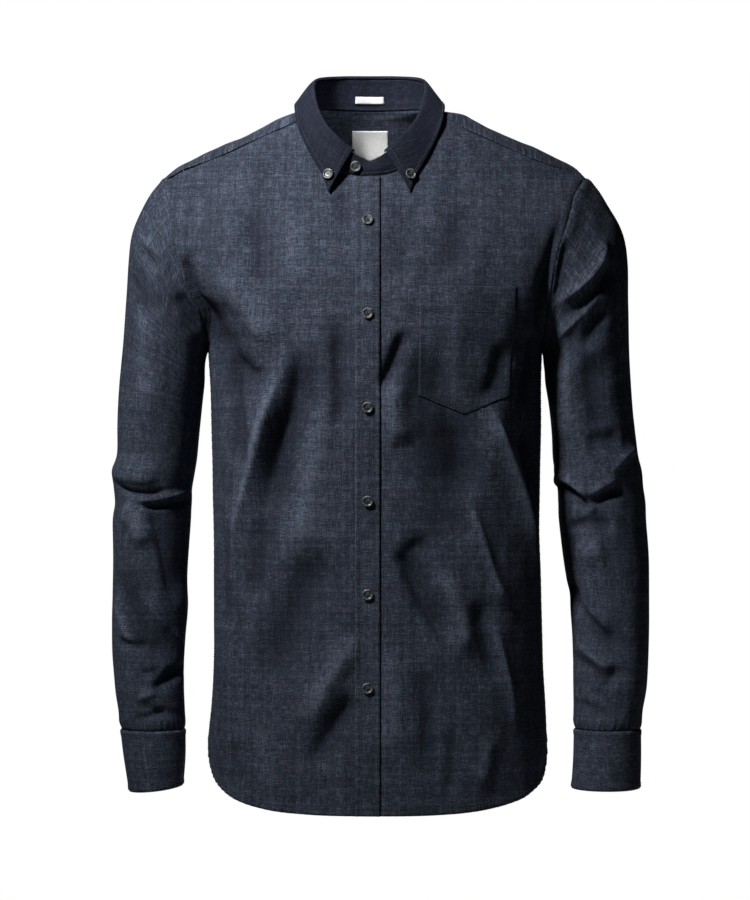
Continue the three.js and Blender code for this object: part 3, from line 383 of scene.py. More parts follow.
# Grids
SIDE_STRETCH = 1.2
GRAIN_LEVEL = 4
GRAIN_POINTS = 60
GRAIN_CROWDING = 0.7


def run_along(path):
    """How far each point of a path is from its start."""
    return np.concatenate([[0], np.cumsum(np.linalg.norm(np.diff(path, axis=0), axis=1))])


def body_grain(points, back):
    """Cloth coordinates of a body panel, with its warp upright and its weft level."""
    flat = points.reshape(-1, 3)
    x, z = flat[:, 0], flat[:, 2]
    across = np.empty(len(flat))
    levels = np.round(np.minimum(z, ARMHOLE_BOTTOM) / GRAIN_LEVEL) * GRAIN_LEVEL
    part = np.linspace(0, 1, GRAIN_POINTS) ** GRAIN_CROWDING
    part = np.concatenate([-part[:0:-1], part])
    for level in np.unique(levels):
        row = body_point(part, np.full(len(part), level), back)
        places, run = row[:, 0], run_along(row)
        mine = levels == level
        beyond = np.maximum(x[mine] - places[-1], 0) + np.minimum(x[mine] - places[0], 0)
        across[mine] = np.interp(x[mine], places, run - np.interp(0, places, run)) + beyond * SIDE_STRETCH
    return across.reshape(points.shape[:-1]), -points[..., 2]


def grid_normals(points, guide):
    """Normals of a grid, on the side that the guide faces."""
    down, around = np.gradient(points, axis=0), np.gradient(points, axis=1)
    normals = unit(np.cross(around, down))
    return normals * np.where((normals * guide).sum(-1, keepdims=True) < 0, -1, 1)


def lengths(points, axis):
    """How far each point of a grid is along its row or column, and how far from the end."""
    step = np.linalg.norm(np.diff(points, axis=axis), axis=-1)
    pad = [(1, 0), (0, 0)] if axis == 0 else [(0, 0), (1, 0)]
    run = np.pad(np.cumsum(step, axis=axis), pad)
    return run, (run[-1:] if axis == 0 else run[:, -1:]) - run


def body_guide(points):
    """Rough outward way of a body panel: out from the middle, and upward on the shoulders."""
    upward = np.where(points[..., 2] > -62, 0.5, 0)
    return np.stack([points[..., 0] / 220, points[..., 1] / 110, upward], axis=-1)


def panel(tops, edges, ring_angles, signs, back, trunk_rows):
    """Grid of a front or back: columns hang from the given top points to the hem."""
    ring = armhole_point(1, ring_angles)[:, 2]
    shares = (ring[0] - ring) / (ring[0] - ARMHOLE_BOTTOM)
    trunk = np.linspace(0, 1, trunk_rows + 1)[1:]
    low = np.linspace(0, 1, len(tops))

    def ends(z):
        """How far across the section the panel's two sides are, below the armholes."""
        return [np.full_like(z, sign) if edge is None else across_at(np.full_like(z, edge), z, back)
                for edge, sign in zip(edges, signs)]

    def side_x(z):
        """The x of the panel's two sides, beside the armholes."""
        return [np.full_like(z, edge) if edge is not None else sign * read(ARMHOLE, z, 1 if sign < 0 else 2)
                for edge, sign in zip(edges, signs)]

    bottom = np.full(len(tops), ARMHOLE_BOTTOM)
    start, end = ends(bottom)
    low_x = body_point(start + (end - start) * low, bottom, back)[:, 0]
    start, end = side_x(bottom)
    low_part = (low_x - start) / (end - start)
    start, end = side_x(tops[:, 2])
    top_part = np.clip((tops[:, 0] - start) / (end - start), 0, 1)
    z = tops[None, :, 2] + (ARMHOLE_BOTTOM - tops[None, :, 2]) * shares[:, None]
    part = low_part + (top_part - low_part) * (1 - shares[:, None]) ** COLUMN_SPREAD
    start, end = side_x(z)
    x = start + (end - start) * part
    upper = body_at(x, z, back)
    upper[0] = tops
    for column, edge, sign in ((0, edges[0], signs[0]), (-1, edges[1], signs[1])):
        if edge is None:
            upper[:, column] = armhole_point(sign, ring_angles)
    sides = ends(np.array([float(HEM_SIDE)]))
    hem_across = sides[0] + (sides[1] - sides[0]) * low
    hem_middle = HEM_BACK if back else HEM_FRONT
    hem = hem_middle + (HEM_SIDE - hem_middle) * np.abs(hem_across) ** HEM_POWER
    z = ARMHOLE_BOTTOM + (hem[None, :] - ARMHOLE_BOTTOM) * trunk[:, None]
    start, end = ends(z)
    return np.concatenate([upper, body_point(start + (end - start) * low, z, back)])


def catmull(points, cuts=6):
    points = np.asarray(points, float)
    ends = np.concatenate([[2 * points[0] - points[1]], points, [2 * points[-1] - points[-2]]])
    t = np.linspace(0, 1, cuts, endpoint=False)[:, None]
    runs = []
    for a, b, c, d in zip(ends, ends[1:], ends[2:], ends[3:]):
        bend = (2 * a - 5 * b + 4 * c - d) * t ** 2 + (3 * b - a - 3 * c + d) * t ** 3
        runs.append(0.5 * (2 * b + (c - a) * t + bend))
    return np.concatenate(runs + [points[-1:]])


def laid(folds, points, normals, back=False):
    """Puts each fold's line on the side of a surface that faces the front or the back."""
    facing = normals[..., 1].ravel() > -0.05 if back else normals[..., 1].ravel() < 0.05
    cloth = points.reshape(-1, 3)[facing]
    placed = []
    for height, first, second, crisp, *line in folds:
        found = []
        for x, z in line:
            away = (cloth[:, 0] - x) ** 2 + (cloth[:, 2] - z) ** 2
            near = np.argpartition(away, 4)[:4]
            weight = 1 / (away[near] + 0.5)
            found.append((cloth[near] * weight[:, None]).sum(0) / weight.sum())
        placed.append((height, first, second, crisp, catmull(found)))
    return placed


CRISP_ROUNDING = 1.6
SLEEVE_GAIN = 1.45
SEAM_FADE = 9.0


def fold_heights(points, normals, folds, gain=1.8):
    """How far the folds push each point of the cloth out."""
    flat, outward = points.reshape(-1, 3), normals.reshape(-1, 3)
    total = np.zeros(len(flat))
    for height, first, second, crisp, path in folds:
        reach = (5 if crisp else 3) * max(first, second)
        inside = np.all((flat > path.min(0) - reach) & (flat < path.max(0) + reach), axis=1)
        index = np.nonzero(inside)[0]
        if not len(index):
            continue
        run = np.diff(path, axis=0)
        away = flat[index][:, None] - path[:-1]
        t = np.clip((away * run).sum(-1) / (run * run).sum(-1), 0, 1)
        away = away - t[..., None] * run
        distance = np.linalg.norm(away, axis=-1)
        k = distance.argmin(1)
        pick = np.arange(len(index))
        distance, away, along = distance[pick, k], away[pick, k], (k + t[pick, k]) / len(run)
        side = (np.cross(run[k], outward[index]) * away).sum(-1)
        blend = smooth(side / np.maximum(np.linalg.norm(run[k], axis=-1) * 3, 1e-6), -1, 1)
        width = second + (first - second) * blend
        taper = smooth(along, 0, 0.28) * smooth(1 - along, 0, 0.28)
        if crisp:
            shape = np.exp(-(np.hypot(distance, CRISP_ROUNDING) - CRISP_ROUNDING) / width * 1.4)
        else:
            shape = ridge(distance, width)
        total[index] += height * taper * shape
    return gain * total.reshape(points.shape[:-1])


WAVES = np.random.default_rng(11)
# Length and height of each wave
WAVE_SIZES = [(150, 0.9), (110, 0.8), (84, 0.6), (63, 0.45), (47, 0.35), (36, 0.25), (27, 0.16), (21, 0.12)]
WAVE_ROWS = [
    (unit(WAVES.normal(size=3) * (1, 1, 0.45)) / length, WAVES.uniform(0, 2 * math.pi), size)
    for length, size in WAVE_SIZES
]


def waves(points, share=1.0):
    """Soft unevenness that all cloth has."""
    total = np.zeros(points.shape[:-1])
    for direction, phase, size in WAVE_ROWS:
        total += size * np.sin((points * direction).sum(-1) * 2 * math.pi + phase)
    return total * share


def ridge(distance, width):
    """A rounded ridge's share of its height at a distance from its line."""
    return np.exp(-((distance / width) ** 2))


def pucker(run, distance, reach=9.0, size=0.35):
    """Small ripples that cross a sewn seam."""
    turn = run * 2 * math.pi
    ripple = np.sin(turn / 8.3 + 1.7 * np.sin(run / 31)) + 0.6 * np.sin(turn / 5.1 + 0.7)
    return size * ripple * ridge(distance, reach)


def sewn(distance, width=7.0, raised=0.6, groove=0.9):
    """A turned and stitched edge: a raised strip with a groove at the seam."""
    return raised * (1 - smooth(distance, width, width + 2.5)) - groove * ridge(distance, 1.4)


TUCK_REACH = 1.6
TUCK_DEPTH = 2.2


def tucked(grids, edge):
    """Adds a turned-in allowance along one edge, under its neighbour. Points and guide come first."""
    upright = edge in ("top", "bottom")
    order = slice(None) if edge in ("top", "first") else slice(None, None, -1)
    if not upright:
        grids = [grid.swapaxes(0, 1) for grid in grids]
    grids = [grid[order] for grid in grids]
    points, guide = grids[:2]
    beyond = points[:1] + unit(points[:1] - points[2:3]) * TUCK_REACH - unit(guide[:1]) * TUCK_DEPTH
    firsts = [beyond] + [grid[:1] for grid in grids[1:]]
    grids = [np.concatenate([first, grid])[order] for first, grid in zip(firsts, grids)]
    return grids if upright else [grid.swapaxes(0, 1) for grid in grids]


# Meshes
def add_piece(name, mesh, turn=Matrix(), place=(0, 0, 0)):
    """Adds a mesh to the scene as part of the shirt's one body."""
    piece = bpy.data.objects.new(name, mesh)
    piece.matrix_world = turn
    piece.location = place
    bpy.context.scene.collection.objects.link(piece)
    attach(piece, "root")
    return piece


def to_mesh(name, points, guide, material, cloth_uv, seams=(99, 99), thickness=CLOTH, tucks=(), relief=0):
    """Makes a thin shell from a grid. seams holds the distances to the side and end seams."""
    layers = [np.broadcast_to(layer, points.shape[:2]).astype(float) for layer in (*cloth_uv, *seams, relief)]
    grids = [points, guide, *layers]
    for edge in tucks:
        grids = tucked(grids, edge)
    points, guide, across, down, side, end, relief = grids
    rows, columns = points.shape[:2]
    index = np.arange(rows * columns).reshape(rows, columns)
    quads = np.stack([index[:-1, :-1], index[1:, :-1], index[1:, 1:], index[:-1, 1:]], axis=-1).reshape(-1, 4)
    flat = points.reshape(-1, 3)
    middle = quads[len(quads) // 2 + columns // 2]
    a, b, c = flat[middle[:3]]
    if np.cross(b - a, c - a) @ guide.reshape(-1, 3)[middle[0]] < 0:
        quads = quads[:, ::-1]
    mesh = bpy.data.meshes.new(name)
    mesh.vertices.add(len(flat))
    mesh.vertices.foreach_set("co", (flat * METRES).ravel())
    mesh.loops.add(quads.size)
    mesh.loops.foreach_set("vertex_index", quads.ravel())
    mesh.polygons.add(len(quads))
    mesh.polygons.foreach_set("loop_start", np.arange(0, quads.size, 4))
    mesh.update(calc_edges=True)
    mesh.polygons.foreach_set("use_smooth", np.ones(len(quads), bool))
    for layer_name, pair in (("cloth", (across, down)), ("seams", (side, end))):
        flat_pair = np.stack([part.ravel() for part in pair], -1)[quads.ravel()]
        mesh.uv_layers.new(name=layer_name).data.foreach_set("uv", (flat_pair * METRES).ravel())
    # The fold heights are kept for the denim, which paints shade into the troughs and light onto the ridges
    mesh.attributes.new("relief", "FLOAT", "POINT").data.foreach_set("value", relief.ravel() * 0.1)
    mesh.materials.append(material)
    piece = add_piece(name, mesh)
    shell = piece.modifiers.new("shell", "SOLIDIFY")
    shell.thickness = thickness * METRES
    shell.offset = -1
    shell.use_even_offset = False
    return piece


def smooth_mesh(name, corners, faces):
    """Makes a mesh with smooth shading from corners in millimetres."""
    mesh = bpy.data.meshes.new(name)
    mesh.from_pydata((np.array(corners, float) * METRES).tolist(), [], faces)
    mesh.polygons.foreach_set("use_smooth", np.ones(len(faces), bool))
    return mesh


def line_at(points, normals, distance, value, axis, part=np.s_[:]):
    """Follows a grid, or a part of it, at a given distance from one of its edges."""
    points, normals, distance = points[part], normals[part], distance[part]
    if axis == 0:
        points, normals, distance = points.swapaxes(0, 1), normals.swapaxes(0, 1), distance.T
    places, outs = [], []
    for row, outward, away in zip(points, normals, distance):
        order = np.argsort(away, kind="stable")
        away, row, outward = away[order], row[order], outward[order]
        if away[-1] < value:
            continue
        k = min(max(int(np.searchsorted(away, value)), 1), len(away) - 1)
        t = (value - away[k - 1]) / max(away[k] - away[k - 1], 1e-6)
        places.append(row[k - 1] + (row[k] - row[k - 1]) * t)
        outs.append(outward[k - 1])
    return np.array(places), np.array(outs)


STITCH_PITCH = 2.9
STITCH_LENGTH = 2.3
STITCH_RADIUS = 0.34
STITCH_LIFT = 0.12
STITCH_SINK = 0.1


def spindle(corners, faces, ends, middle, across, out, count):
    """Adds one thread: two ends, and a ring of corners round its middle."""
    base = len(corners)
    corners += ends
    for turn in range(count):
        angle = 2 * math.pi * turn / count
        corners.append(middle + across * math.cos(angle) + out * math.sin(angle))
    for turn in range(count):
        c, d = base + 2 + turn, base + 2 + (turn + 1) % count
        faces += [(base, d, c), (base + 1, c, d)]


def stitches(name, lines):
    """Rows of sewn thread, each stitch a small spindle that lies on the cloth."""
    corners, faces = [], []
    for places, outs in lines:
        run = run_along(places)
        for at in np.arange(STITCH_PITCH, run[-1] - STITCH_PITCH / 2, STITCH_PITCH):
            marks = np.array([at - STITCH_LENGTH / 2, at, at + STITCH_LENGTH / 2])
            spots = np.column_stack([np.interp(marks, run, places[:, i]) for i in range(3)])
            out = unit(np.array([np.interp(at, run, outs[:, i]) for i in range(3)]))
            side = np.cross(unit(spots[2] - spots[0]), out) * STITCH_RADIUS
            ends = [spots[0] - out * STITCH_SINK, spots[2] - out * STITCH_SINK]
            spindle(corners, faces, ends, spots[1] + out * STITCH_LIFT, side, out * STITCH_RADIUS, 6)
    mesh = smooth_mesh(name, corners, faces)
    mesh.materials.append(THREAD)
    add_piece(name, mesh)


# Materials
class Paint:
    """A material under way: its nodes, and the coordinates that its noises follow."""

    def __init__(self, name, cloth, **settings):
        self.material = bpy.data.materials.new(name)
        self.material.use_nodes = True
        self.shader = self.material.node_tree.nodes["Principled BSDF"]
        for socket, value in settings.items():
            self.shader.inputs[socket.replace("_", " ")].default_value = value
        self.source = self.layer("cloth") if cloth else self.node("TexCoord").outputs["Object"]

    def node(self, kind, operation=None):
        node = self.material.node_tree.nodes.new(f"ShaderNode{kind}")
        if operation:
            node.operation = operation
        return node

    def layer(self, name):
        node = self.node("UVMap")
        node.uv_map = name
        return node.outputs["UV"]

    def put(self, value, socket):
        """Links a socket to another's output, or sets it to a number."""
        if isinstance(value, bpy.types.NodeSocket):
            self.material.node_tree.links.new(value, socket)
        elif value is not None:
            socket.default_value = value

    def noise(self, stretch, detail=2.0, roughness=0.5, offset=(0, 0, 0)):
        mapping, texture = self.node("Mapping"), self.node("TexNoise")
        for name, value in (("Scale", stretch), ("Location", offset), ("Vector", self.source)):
            self.put(value, mapping.inputs[name])
        self.put(mapping.outputs["Vector"], texture.inputs["Vector"])
        for name, value in (("Scale", 1.0), ("Detail", detail), ("Roughness", roughness)):
            self.put(value, texture.inputs[name])
        return texture.outputs["Fac"]

    def calc(self, operation, *values, clamp=False):
        node = self.node("Math", operation)
        node.use_clamp = clamp
        for socket, value in zip(node.inputs, values):
            self.put(value, socket)
        return node.outputs[0]

    def vector(self, operation, first, second=None):
        node = self.node("VectorMath", operation)
        self.put(first, node.inputs[0])
        self.put(second, node.inputs[1])
        return node.outputs["Value" if operation == "LENGTH" else "Vector"]

    def ramp(self, source, stops):
        node = self.node("ValToRGB")
        elements = node.color_ramp.elements
        for element, (position, colour) in ((elements[0], stops[0]), (elements[1], stops[-1])):
            element.position, element.color = position, (*colour, 1)
        for position, colour in stops[1:-1]:
            elements.new(position).color = (*colour, 1)
        self.put(source, node.inputs["Fac"])
        return node.outputs["Color"]

    def finish(self, colour, height=None, strength=0.0, distance=0.0):
        """Puts in the colour, and the bump from a height, and hands over the material."""
        self.put(colour, self.shader.inputs["Base Color"])
        if height is not None:
            bump = self.node("Bump")
            for name, value in (("Strength", strength), ("Distance", distance), ("Height", height)):
                self.put(value, bump.inputs[name])
            self.put(bump.outputs["Normal"], self.shader.inputs["Normal"])
        return self.material


# The noises of denim: share, stretch across and along, detail, roughness and offset
DENIM_NOISES = [
    (0.36, (120, 900, 1), 3.0, 0.65, (0, 0, 0)), (0.3, (850, 95, 1), 3.0, 0.65, (31, 7, 0)),
    (0.14, (260, 5, 1), 3.0, 0.6, (3, 11, 0)), (0.12, (9, 260, 1), 2.0, 0.5, (17, 5, 0)),
    (0.12, (70, 60, 1), 3.0, 0.6, (9, 23, 0)), (0.28, (900, 900, 1), 1.0, 0.5, (0, 0, 0)),
]
DENIM_MIDDLE = 0.655
DENIM_SPREAD = 0.15
STITCH_GROOVE = 6.0
STITCH_GROOVE_HALF = 0.75
WORN_EDGE = 1.3
# Shares in how pale the cloth is of the folds (painted shade in their troughs, painted light on their ridges),
# the worn edges and the stitched grooves
FOLD_SHADE_SHARE = 0.09
EDGE_SHARE = 0.3
GROOVE_SHADE_SHARE = -0.03
GROOVE_DEPTH = -0.4


def denim(name, dark, middle, light, contrast=1.0):
    """Slub denim: pale weft and warp threads of uneven thickness over dark indigo."""
    paint = Paint(
        name, True, Roughness=0.82, Specular_IOR_Level=0.15, Sheen_Weight=0.02, Sheen_Roughness=0.45,
        Sheen_Tint=(0.55, 0.62, 0.8, 1),
    )
    threads = 0.0
    for share, *settings in DENIM_NOISES:
        threads = paint.calc("MULTIPLY_ADD", paint.noise(*settings), share, threads)
    split = paint.node("SeparateXYZ")
    paint.put(paint.layer("seams"), split.inputs["Vector"])
    groove = worn = 0.0
    for axis in ("X", "Y"):
        millimetres = paint.calc("MULTIPLY", split.outputs[axis], 1000.0)
        line = paint.calc("COMPARE", millimetres, STITCH_GROOVE, STITCH_GROOVE_HALF)
        groove = paint.calc("MAXIMUM", groove, line)
        worn = paint.calc("MAXIMUM", worn, paint.calc("LESS_THAN", millimetres, WORN_EDGE))
    # Painted shade and light: the fold heights darken the troughs and pale the ridges
    fold_shade = paint.node("Attribute")
    fold_shade.attribute_name = "relief"
    threads = paint.calc("MULTIPLY_ADD", fold_shade.outputs["Fac"], FOLD_SHADE_SHARE, threads)
    spots = paint.noise((420, 420, 1), 2.0, 0.6, (5, 5, 0))
    fleck = paint.calc("MULTIPLY", worn, paint.calc("SUBTRACT", spots, 0.4), clamp=True)
    threads = paint.calc("MULTIPLY_ADD", fleck, EDGE_SHARE, threads)
    # Painted shade in the stitched grooves, which are also bumped in
    threads = paint.calc("MULTIPLY_ADD", groove, GROOVE_SHADE_SHARE, threads)
    low, high = DENIM_SPREAD / contrast * 1.5, DENIM_SPREAD / contrast * 1.7
    stops = [(DENIM_MIDDLE - low, dark), (DENIM_MIDDLE, middle), (DENIM_MIDDLE + high, light)]
    dye = paint.noise((330, 60, 1), 2.0, 0.6, (41, 3, 0))
    tint = paint.ramp(dye, [(0.38, (0.89, 1.01, 1.04)), (0.62, (1.08, 0.995, 0.985))])
    colour = paint.vector("MULTIPLY", paint.ramp(threads, stops), tint)
    return paint.finish(colour, paint.calc("MULTIPLY_ADD", groove, GROOVE_DEPTH, threads), 0.35, 0.0012)


def thread_material():
    paint = Paint("thread", False, Roughness=0.6, Sheen_Weight=0.2)
    stops = [(0.3, (0.025, 0.03, 0.045)), (0.7, (0.10, 0.118, 0.16))]
    return paint.finish(paint.ramp(paint.noise((900, 900, 900)), stops))


def button_material():
    """Smoky imitation pearl: dark grey-green with paler swirls and a paler rim."""
    paint = Paint("smoky_button", False, Roughness=0.38, Coat_Weight=0.1, Coat_Roughness=0.12)
    swirl = paint.noise((260, 260, 420), 4.0, 0.6)
    radius = paint.vector("LENGTH", paint.vector("MULTIPLY", paint.source, (1000, 1000, 0)))
    rim = paint.calc("SUBTRACT", radius, 3.5, clamp=True)
    swirl = paint.calc("MULTIPLY_ADD", rim, 0.11, swirl)
    stops = [(0.3, (0.010, 0.013, 0.014)), (0.52, (0.04, 0.046, 0.047)), (0.74, (0.27, 0.285, 0.285))]
    return paint.finish(paint.ramp(swirl, stops), swirl, 0.15, 0.0003)


def label_material():
    """Plain white woven tape."""
    paint = Paint("white_tape", True, Roughness=0.7, Sheen_Weight=0.15)
    weave = paint.calc("ADD", paint.noise((160, 2600, 1)), paint.noise((2600, 160, 1)))
    stops = [(0.75, (0.62, 0.62, 0.63)), (1.0, (0.86, 0.86, 0.86))]
    return paint.finish(paint.ramp(weave, stops), weave, 0.3, 0.0004)


def floor_material():
    """A plain matt paint with slight mottling."""
    paint = Paint("pale_floor", False, Roughness=0.8)
    stops = [(0.3, (0.82 * 0.985,) * 3), (0.7, (0.82,) * 3)]
    return paint.finish(paint.ramp(paint.noise((3, 3, 3)), stops))


DENIM = denim("slub_denim", (0.006, 0.0075, 0.014), (0.034, 0.041, 0.062), (0.17, 0.2, 0.27), 1.25)
# A darker copy of the denim for the collar and its stand: painted shade on and under the collar
SHADED_COLLAR_DENIM = denim("collar_denim", (0.003, 0.0036, 0.008), (0.0095, 0.012, 0.0225), (0.052, 0.06, 0.095))
THREAD = thread_material()
PEARL = button_material()
TAPE = label_material()

SIDES = (("right", -1), ("left", 1))
# Distances of stitch rows from their edges
SEAM_STITCH = 6.0
HEM_STITCH = 5.2
YOKE_STITCH = 5.5
COLLAR_STITCH = 5.7
CUFF_STITCH = 5.6
NARROW_STITCH = 3.0
POCKET_STITCH = 1.6
# Where each piece starts in the weave, so that no two look cut from the same place
WEAVE_START = {
    "yoke": 1200, "placket": 400, "pocket": 700, "sleeve": 900, "cuff": 1500, "sleeve_placket": 2500,
    "collar_stand": 3000, "collar": 4000,
}


def make(name, grid, normals, rise, cloth_uv, seams, rows=(), material=DENIM, **more):
    """Adds a node's cloth, raised from its grid, and its rows of stitches."""
    cloth = grid + normals * rise[..., None]
    to_mesh(f"{name}_cloth", cloth, normals, material, cloth_uv, seams, **more)
    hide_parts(name)
    if rows:
        stitches(f"{name}_stitching", [line_at(cloth, normals, *row) for row in rows])
    return cloth


def gaps(grid):
    """Distances from the top, the bottom, the first side, the last side and the nearer side."""
    down, up = lengths(grid, 0)
    first, last = lengths(grid, 1)
    return down, up, first, last, np.minimum(first, last)


def armhole_gap(grid, side_gap):
    """Distance to the armhole seam, which ends at the top of the side seam."""
    return np.where(grid[..., 2] > ARMHOLE_BOTTOM, side_gap, side_gap + ARMHOLE_BOTTOM - grid[..., 2])


# Fronts
COLUMNS_NECK = 34
COLUMNS_SEAM = 62
FRONT_RING = 100
BACK_RING = 96
TRUNK_ROWS = 190
BACK_COLUMNS = 152


def front_tops(sign):
    neck = neck_point(sign, np.linspace(NECK_EDGE_ANGLE, SHOULDER_SEAM_ANGLE, COLUMNS_NECK))
    seam = shoulder_seam(sign, np.linspace(0, 1, COLUMNS_SEAM + 1)[1:])
    z = float(read(NECK_SEAM, 0, 1))
    if sign < 0:
        edge = body_at(np.linspace(FRONT_EDGE, neck[0, 0], 9)[:-1], z)
        return np.concatenate([edge, neck, seam])
    neck[0] = body_at(FRONT_EDGE + SEAM_GAP, z)
    return np.concatenate([neck, seam])


def hanging_angles(start, way, count):
    """Angles down an armhole, spaced so that no two rows near its bottom lie too close."""
    return np.concatenate([np.linspace(start, way * 168, count), way * np.array([171.5, 175.0, 180.0])])


def front_grid(sign):
    edge = FRONT_EDGE if sign < 0 else FRONT_EDGE + SEAM_GAP
    angles = hanging_angles(FRONT_SEAM_ANGLE, 1, FRONT_RING)
    return panel(front_tops(sign), [edge, None], angles, [sign, sign], False, TRUNK_ROWS)


fronts = {side: front_grid(sign) for side, sign in SIDES}
front_normals = {side: grid_normals(grid, body_guide(grid)) for side, grid in fronts.items()}
all_front = np.concatenate([fronts[side].reshape(-1, 3) for side in fronts])
all_front_normals = np.concatenate([front_normals[side].reshape(-1, 3) for side in fronts])
front_folds = laid(FRONT_FOLDS, all_front, all_front_normals)

seam_lines = []
for side, sign in SIDES:
    grid, normals = fronts[side], front_normals[side]
    down, up, across, seam_gap, _ = gaps(grid)
    settled = smooth(armhole_gap(grid, seam_gap), 0, SEAM_FADE)
    relief = fold_heights(grid, normals, front_folds) * settled
    rise = relief + waves(grid) * settled
    rise += sewn(seam_gap) + pucker(down, seam_gap, 9, 0.2)
    rise += sewn(up, 5.5, 0.5, 0) + pucker(across, up, 8, 0.4) - 0.3 * ridge(down, 1.4)
    if sign > 0:
        rise -= 1.2 * ridge(grid[..., 0] - PLACKET_LEFT, 1.6)
    seams = (seam_gap, np.minimum(up, down + 20))
    cloth = make(
        f"front_{side}", grid, normals, rise, body_grain(grid, False), seams,
        tucks=("top", "last"), relief=relief,
    )
    seam_lines.append(line_at(cloth, normals, seam_gap, SEAM_STITCH, 1))
    seam_lines.append(line_at(cloth, normals, up, HEM_STITCH, 0))
stitches("front_stitching", seam_lines)


# Back and yoke
def yoke_back_points(count):
    across = np.linspace(-1, 1, count)
    corner = armhole_point(1, BACK_SEAM_ANGLE)
    right, left = abs(armhole_point(-1, BACK_SEAM_ANGLE)[0]), corner[0]
    points = body_at(np.where(across < 0, right, left) * across, np.full(count, corner[2]), True)
    points[0], points[-1] = armhole_point(-1, BACK_SEAM_ANGLE), corner
    return points


def body_height(x, y):
    """Height of the body's surface over a point, by halving."""
    low, high = np.full(x.shape, -120.0), np.full(x.shape, 21.0)
    for _ in range(26):
        z = (low + high) / 2
        inside = body_depth(x, z, y >= 0) > np.abs(y)
        low, high = np.where(inside, z, low), np.where(inside, high, z)
    return (low + high) / 2


def out_at(sign, angle):
    """Level direction out of the neck."""
    turn = np.radians(angle)
    return np.stack([sign * np.sin(turn), -np.cos(turn), np.zeros_like(turn)], axis=-1)


def round_neck(start, count):
    """Side, angle and outward way of each column, round the neck from the wearer's right."""
    turns = np.linspace(start, 360 - start, count)
    sign = np.where(turns <= 180, -1.0, 1.0)
    angle = np.where(turns <= 180, turns, 360 - turns)
    return sign, angle, out_at(sign, angle)


YOKE_SEAM_COLUMNS = 46
YOKE_NECK_COLUMNS = 64
YOKE_ROWS = 44


def yoke_grid():
    seam = np.linspace(0, 1, YOKE_SEAM_COLUMNS + 1)[1:]
    sign, angle, _ = round_neck(SHOULDER_SEAM_ANGLE, YOKE_NECK_COLUMNS + 1)
    starts = np.concatenate([shoulder_seam(-1, seam)[::-1], neck_point(sign, angle), shoulder_seam(1, seam)])
    ends = yoke_back_points(len(starts))
    angles = np.linspace(FRONT_SEAM_ANGLE, BACK_SEAM_ANGLE, YOKE_ROWS + 1)
    ring = armhole_point(1, angles)[:, 1]
    share = ((ring - ring[0]) / (ring[-1] - ring[0]))[:, None]
    x = starts[:, 0] + (ends[:, 0] - starts[:, 0]) * share
    y = starts[:, 1] + (ends[:, 1] - starts[:, 1]) * share
    points = np.stack([x, y, body_height(x, y)], axis=-1)
    points[0], points[-1] = starts, ends
    points[:, 0], points[:, -1] = armhole_point(-1, angles), armhole_point(1, angles)
    return points


grid = yoke_grid()
guide = np.stack([grid[..., 0] / 400, grid[..., 1] / 110, np.full(grid.shape[:2], 0.8)], axis=-1)
normals = grid_normals(grid, guide)
down, up, across, back_across, side_gap = gaps(grid)
rise = waves(grid, 0.7) * smooth(side_gap, 0, SEAM_FADE) * smooth(np.minimum(down, up), 0, SEAM_FADE)
rise += sewn(side_gap) + pucker(down, side_gap) + sewn(down, 6, 0.45, 0.35) + sewn(up, 6, 0.9, 0.2)
at_neck = np.zeros(grid.shape[:2])
at_neck[:, YOKE_SEAM_COLUMNS - 1:-YOKE_SEAM_COLUMNS + 1] = 1
rows = [(across, SEAM_STITCH, 1), (back_across, SEAM_STITCH, 1), (up, YOKE_STITCH, 0)]
for part in (np.s_[:, :YOKE_SEAM_COLUMNS], np.s_[:, -YOKE_SEAM_COLUMNS:]):
    rows.append((down, YOKE_STITCH, 0, part))
grain = (grid[..., 0] + WEAVE_START["yoke"], grid[..., 1] * 0.8 - grid[..., 2])
seams = (side_gap, np.minimum(down + 40 * at_neck, up))
make("yoke", grid, normals, rise, grain, seams, rows, tucks=("first", "last"))

angles = hanging_angles(BACK_SEAM_ANGLE, -1, BACK_RING)
grid = panel(yoke_back_points(BACK_COLUMNS), [None, None], angles, [-1, 1], True, TRUNK_ROWS)
normals = grid_normals(grid, body_guide(grid))
down, up, across, back_across, side_gap = gaps(grid)
settled = smooth(armhole_gap(grid, side_gap), 0, SEAM_FADE) * smooth(down, 0, SEAM_FADE)
relief = fold_heights(grid, normals, laid(BACK_FOLDS, grid, normals, back=True)) * settled
rise = relief + waves(grid) * settled
rise += sewn(side_gap, 7, 0.3, 0.9) + pucker(down, side_gap)
rise += sewn(up, 5.5, 0.5, 0) + pucker(across, up, 8, 0.4) - 0.9 * ridge(down, 1.6)
make(
    "back", grid, normals, rise, body_grain(grid, True), (side_gap + 20, up), [(up, HEM_STITCH, 0)],
    tucks=("top", "first", "last"), relief=relief,
)

# Band down the front, with its buttonholes
PLACKET_LIFT = 1.65
z = np.linspace(float(read(NECK_SEAM, 0, 1)), HEM_FRONT, 330)
grid = body_at(np.linspace(PLACKET_RIGHT, PLACKET_LEFT, 20)[None, :], z[:, None])
normals = grid_normals(grid, body_guide(grid))
down, up, across, back_across, side_gap = gaps(grid)
relief = fold_heights(grid, normals, front_folds)
rise = relief + waves(grid) + PLACKET_LIFT + pucker(down, side_gap, 5, 0.18)
rise -= 0.55 * ridge(side_gap, 0.9) + 0.4 * ridge(side_gap - YOKE_STITCH, 1.3)
rows = [(across, YOKE_STITCH, 1), (back_across, YOKE_STITCH, 1)]
grain = (across + WEAVE_START["placket"], down)
make("placket", grid, normals, rise, grain, (side_gap + 0.5, up), rows, relief=relief)


# Pocket
def over_and_fall(columns, rows):
    return np.meshgrid(np.linspace(0, 1, columns), np.linspace(0, 1, rows))


def pointed(over, fall, power):
    """Share of a pointed bottom's drop at each place of a pocket or label."""
    return (1 - np.abs(2 * over - 1)) * fall ** power


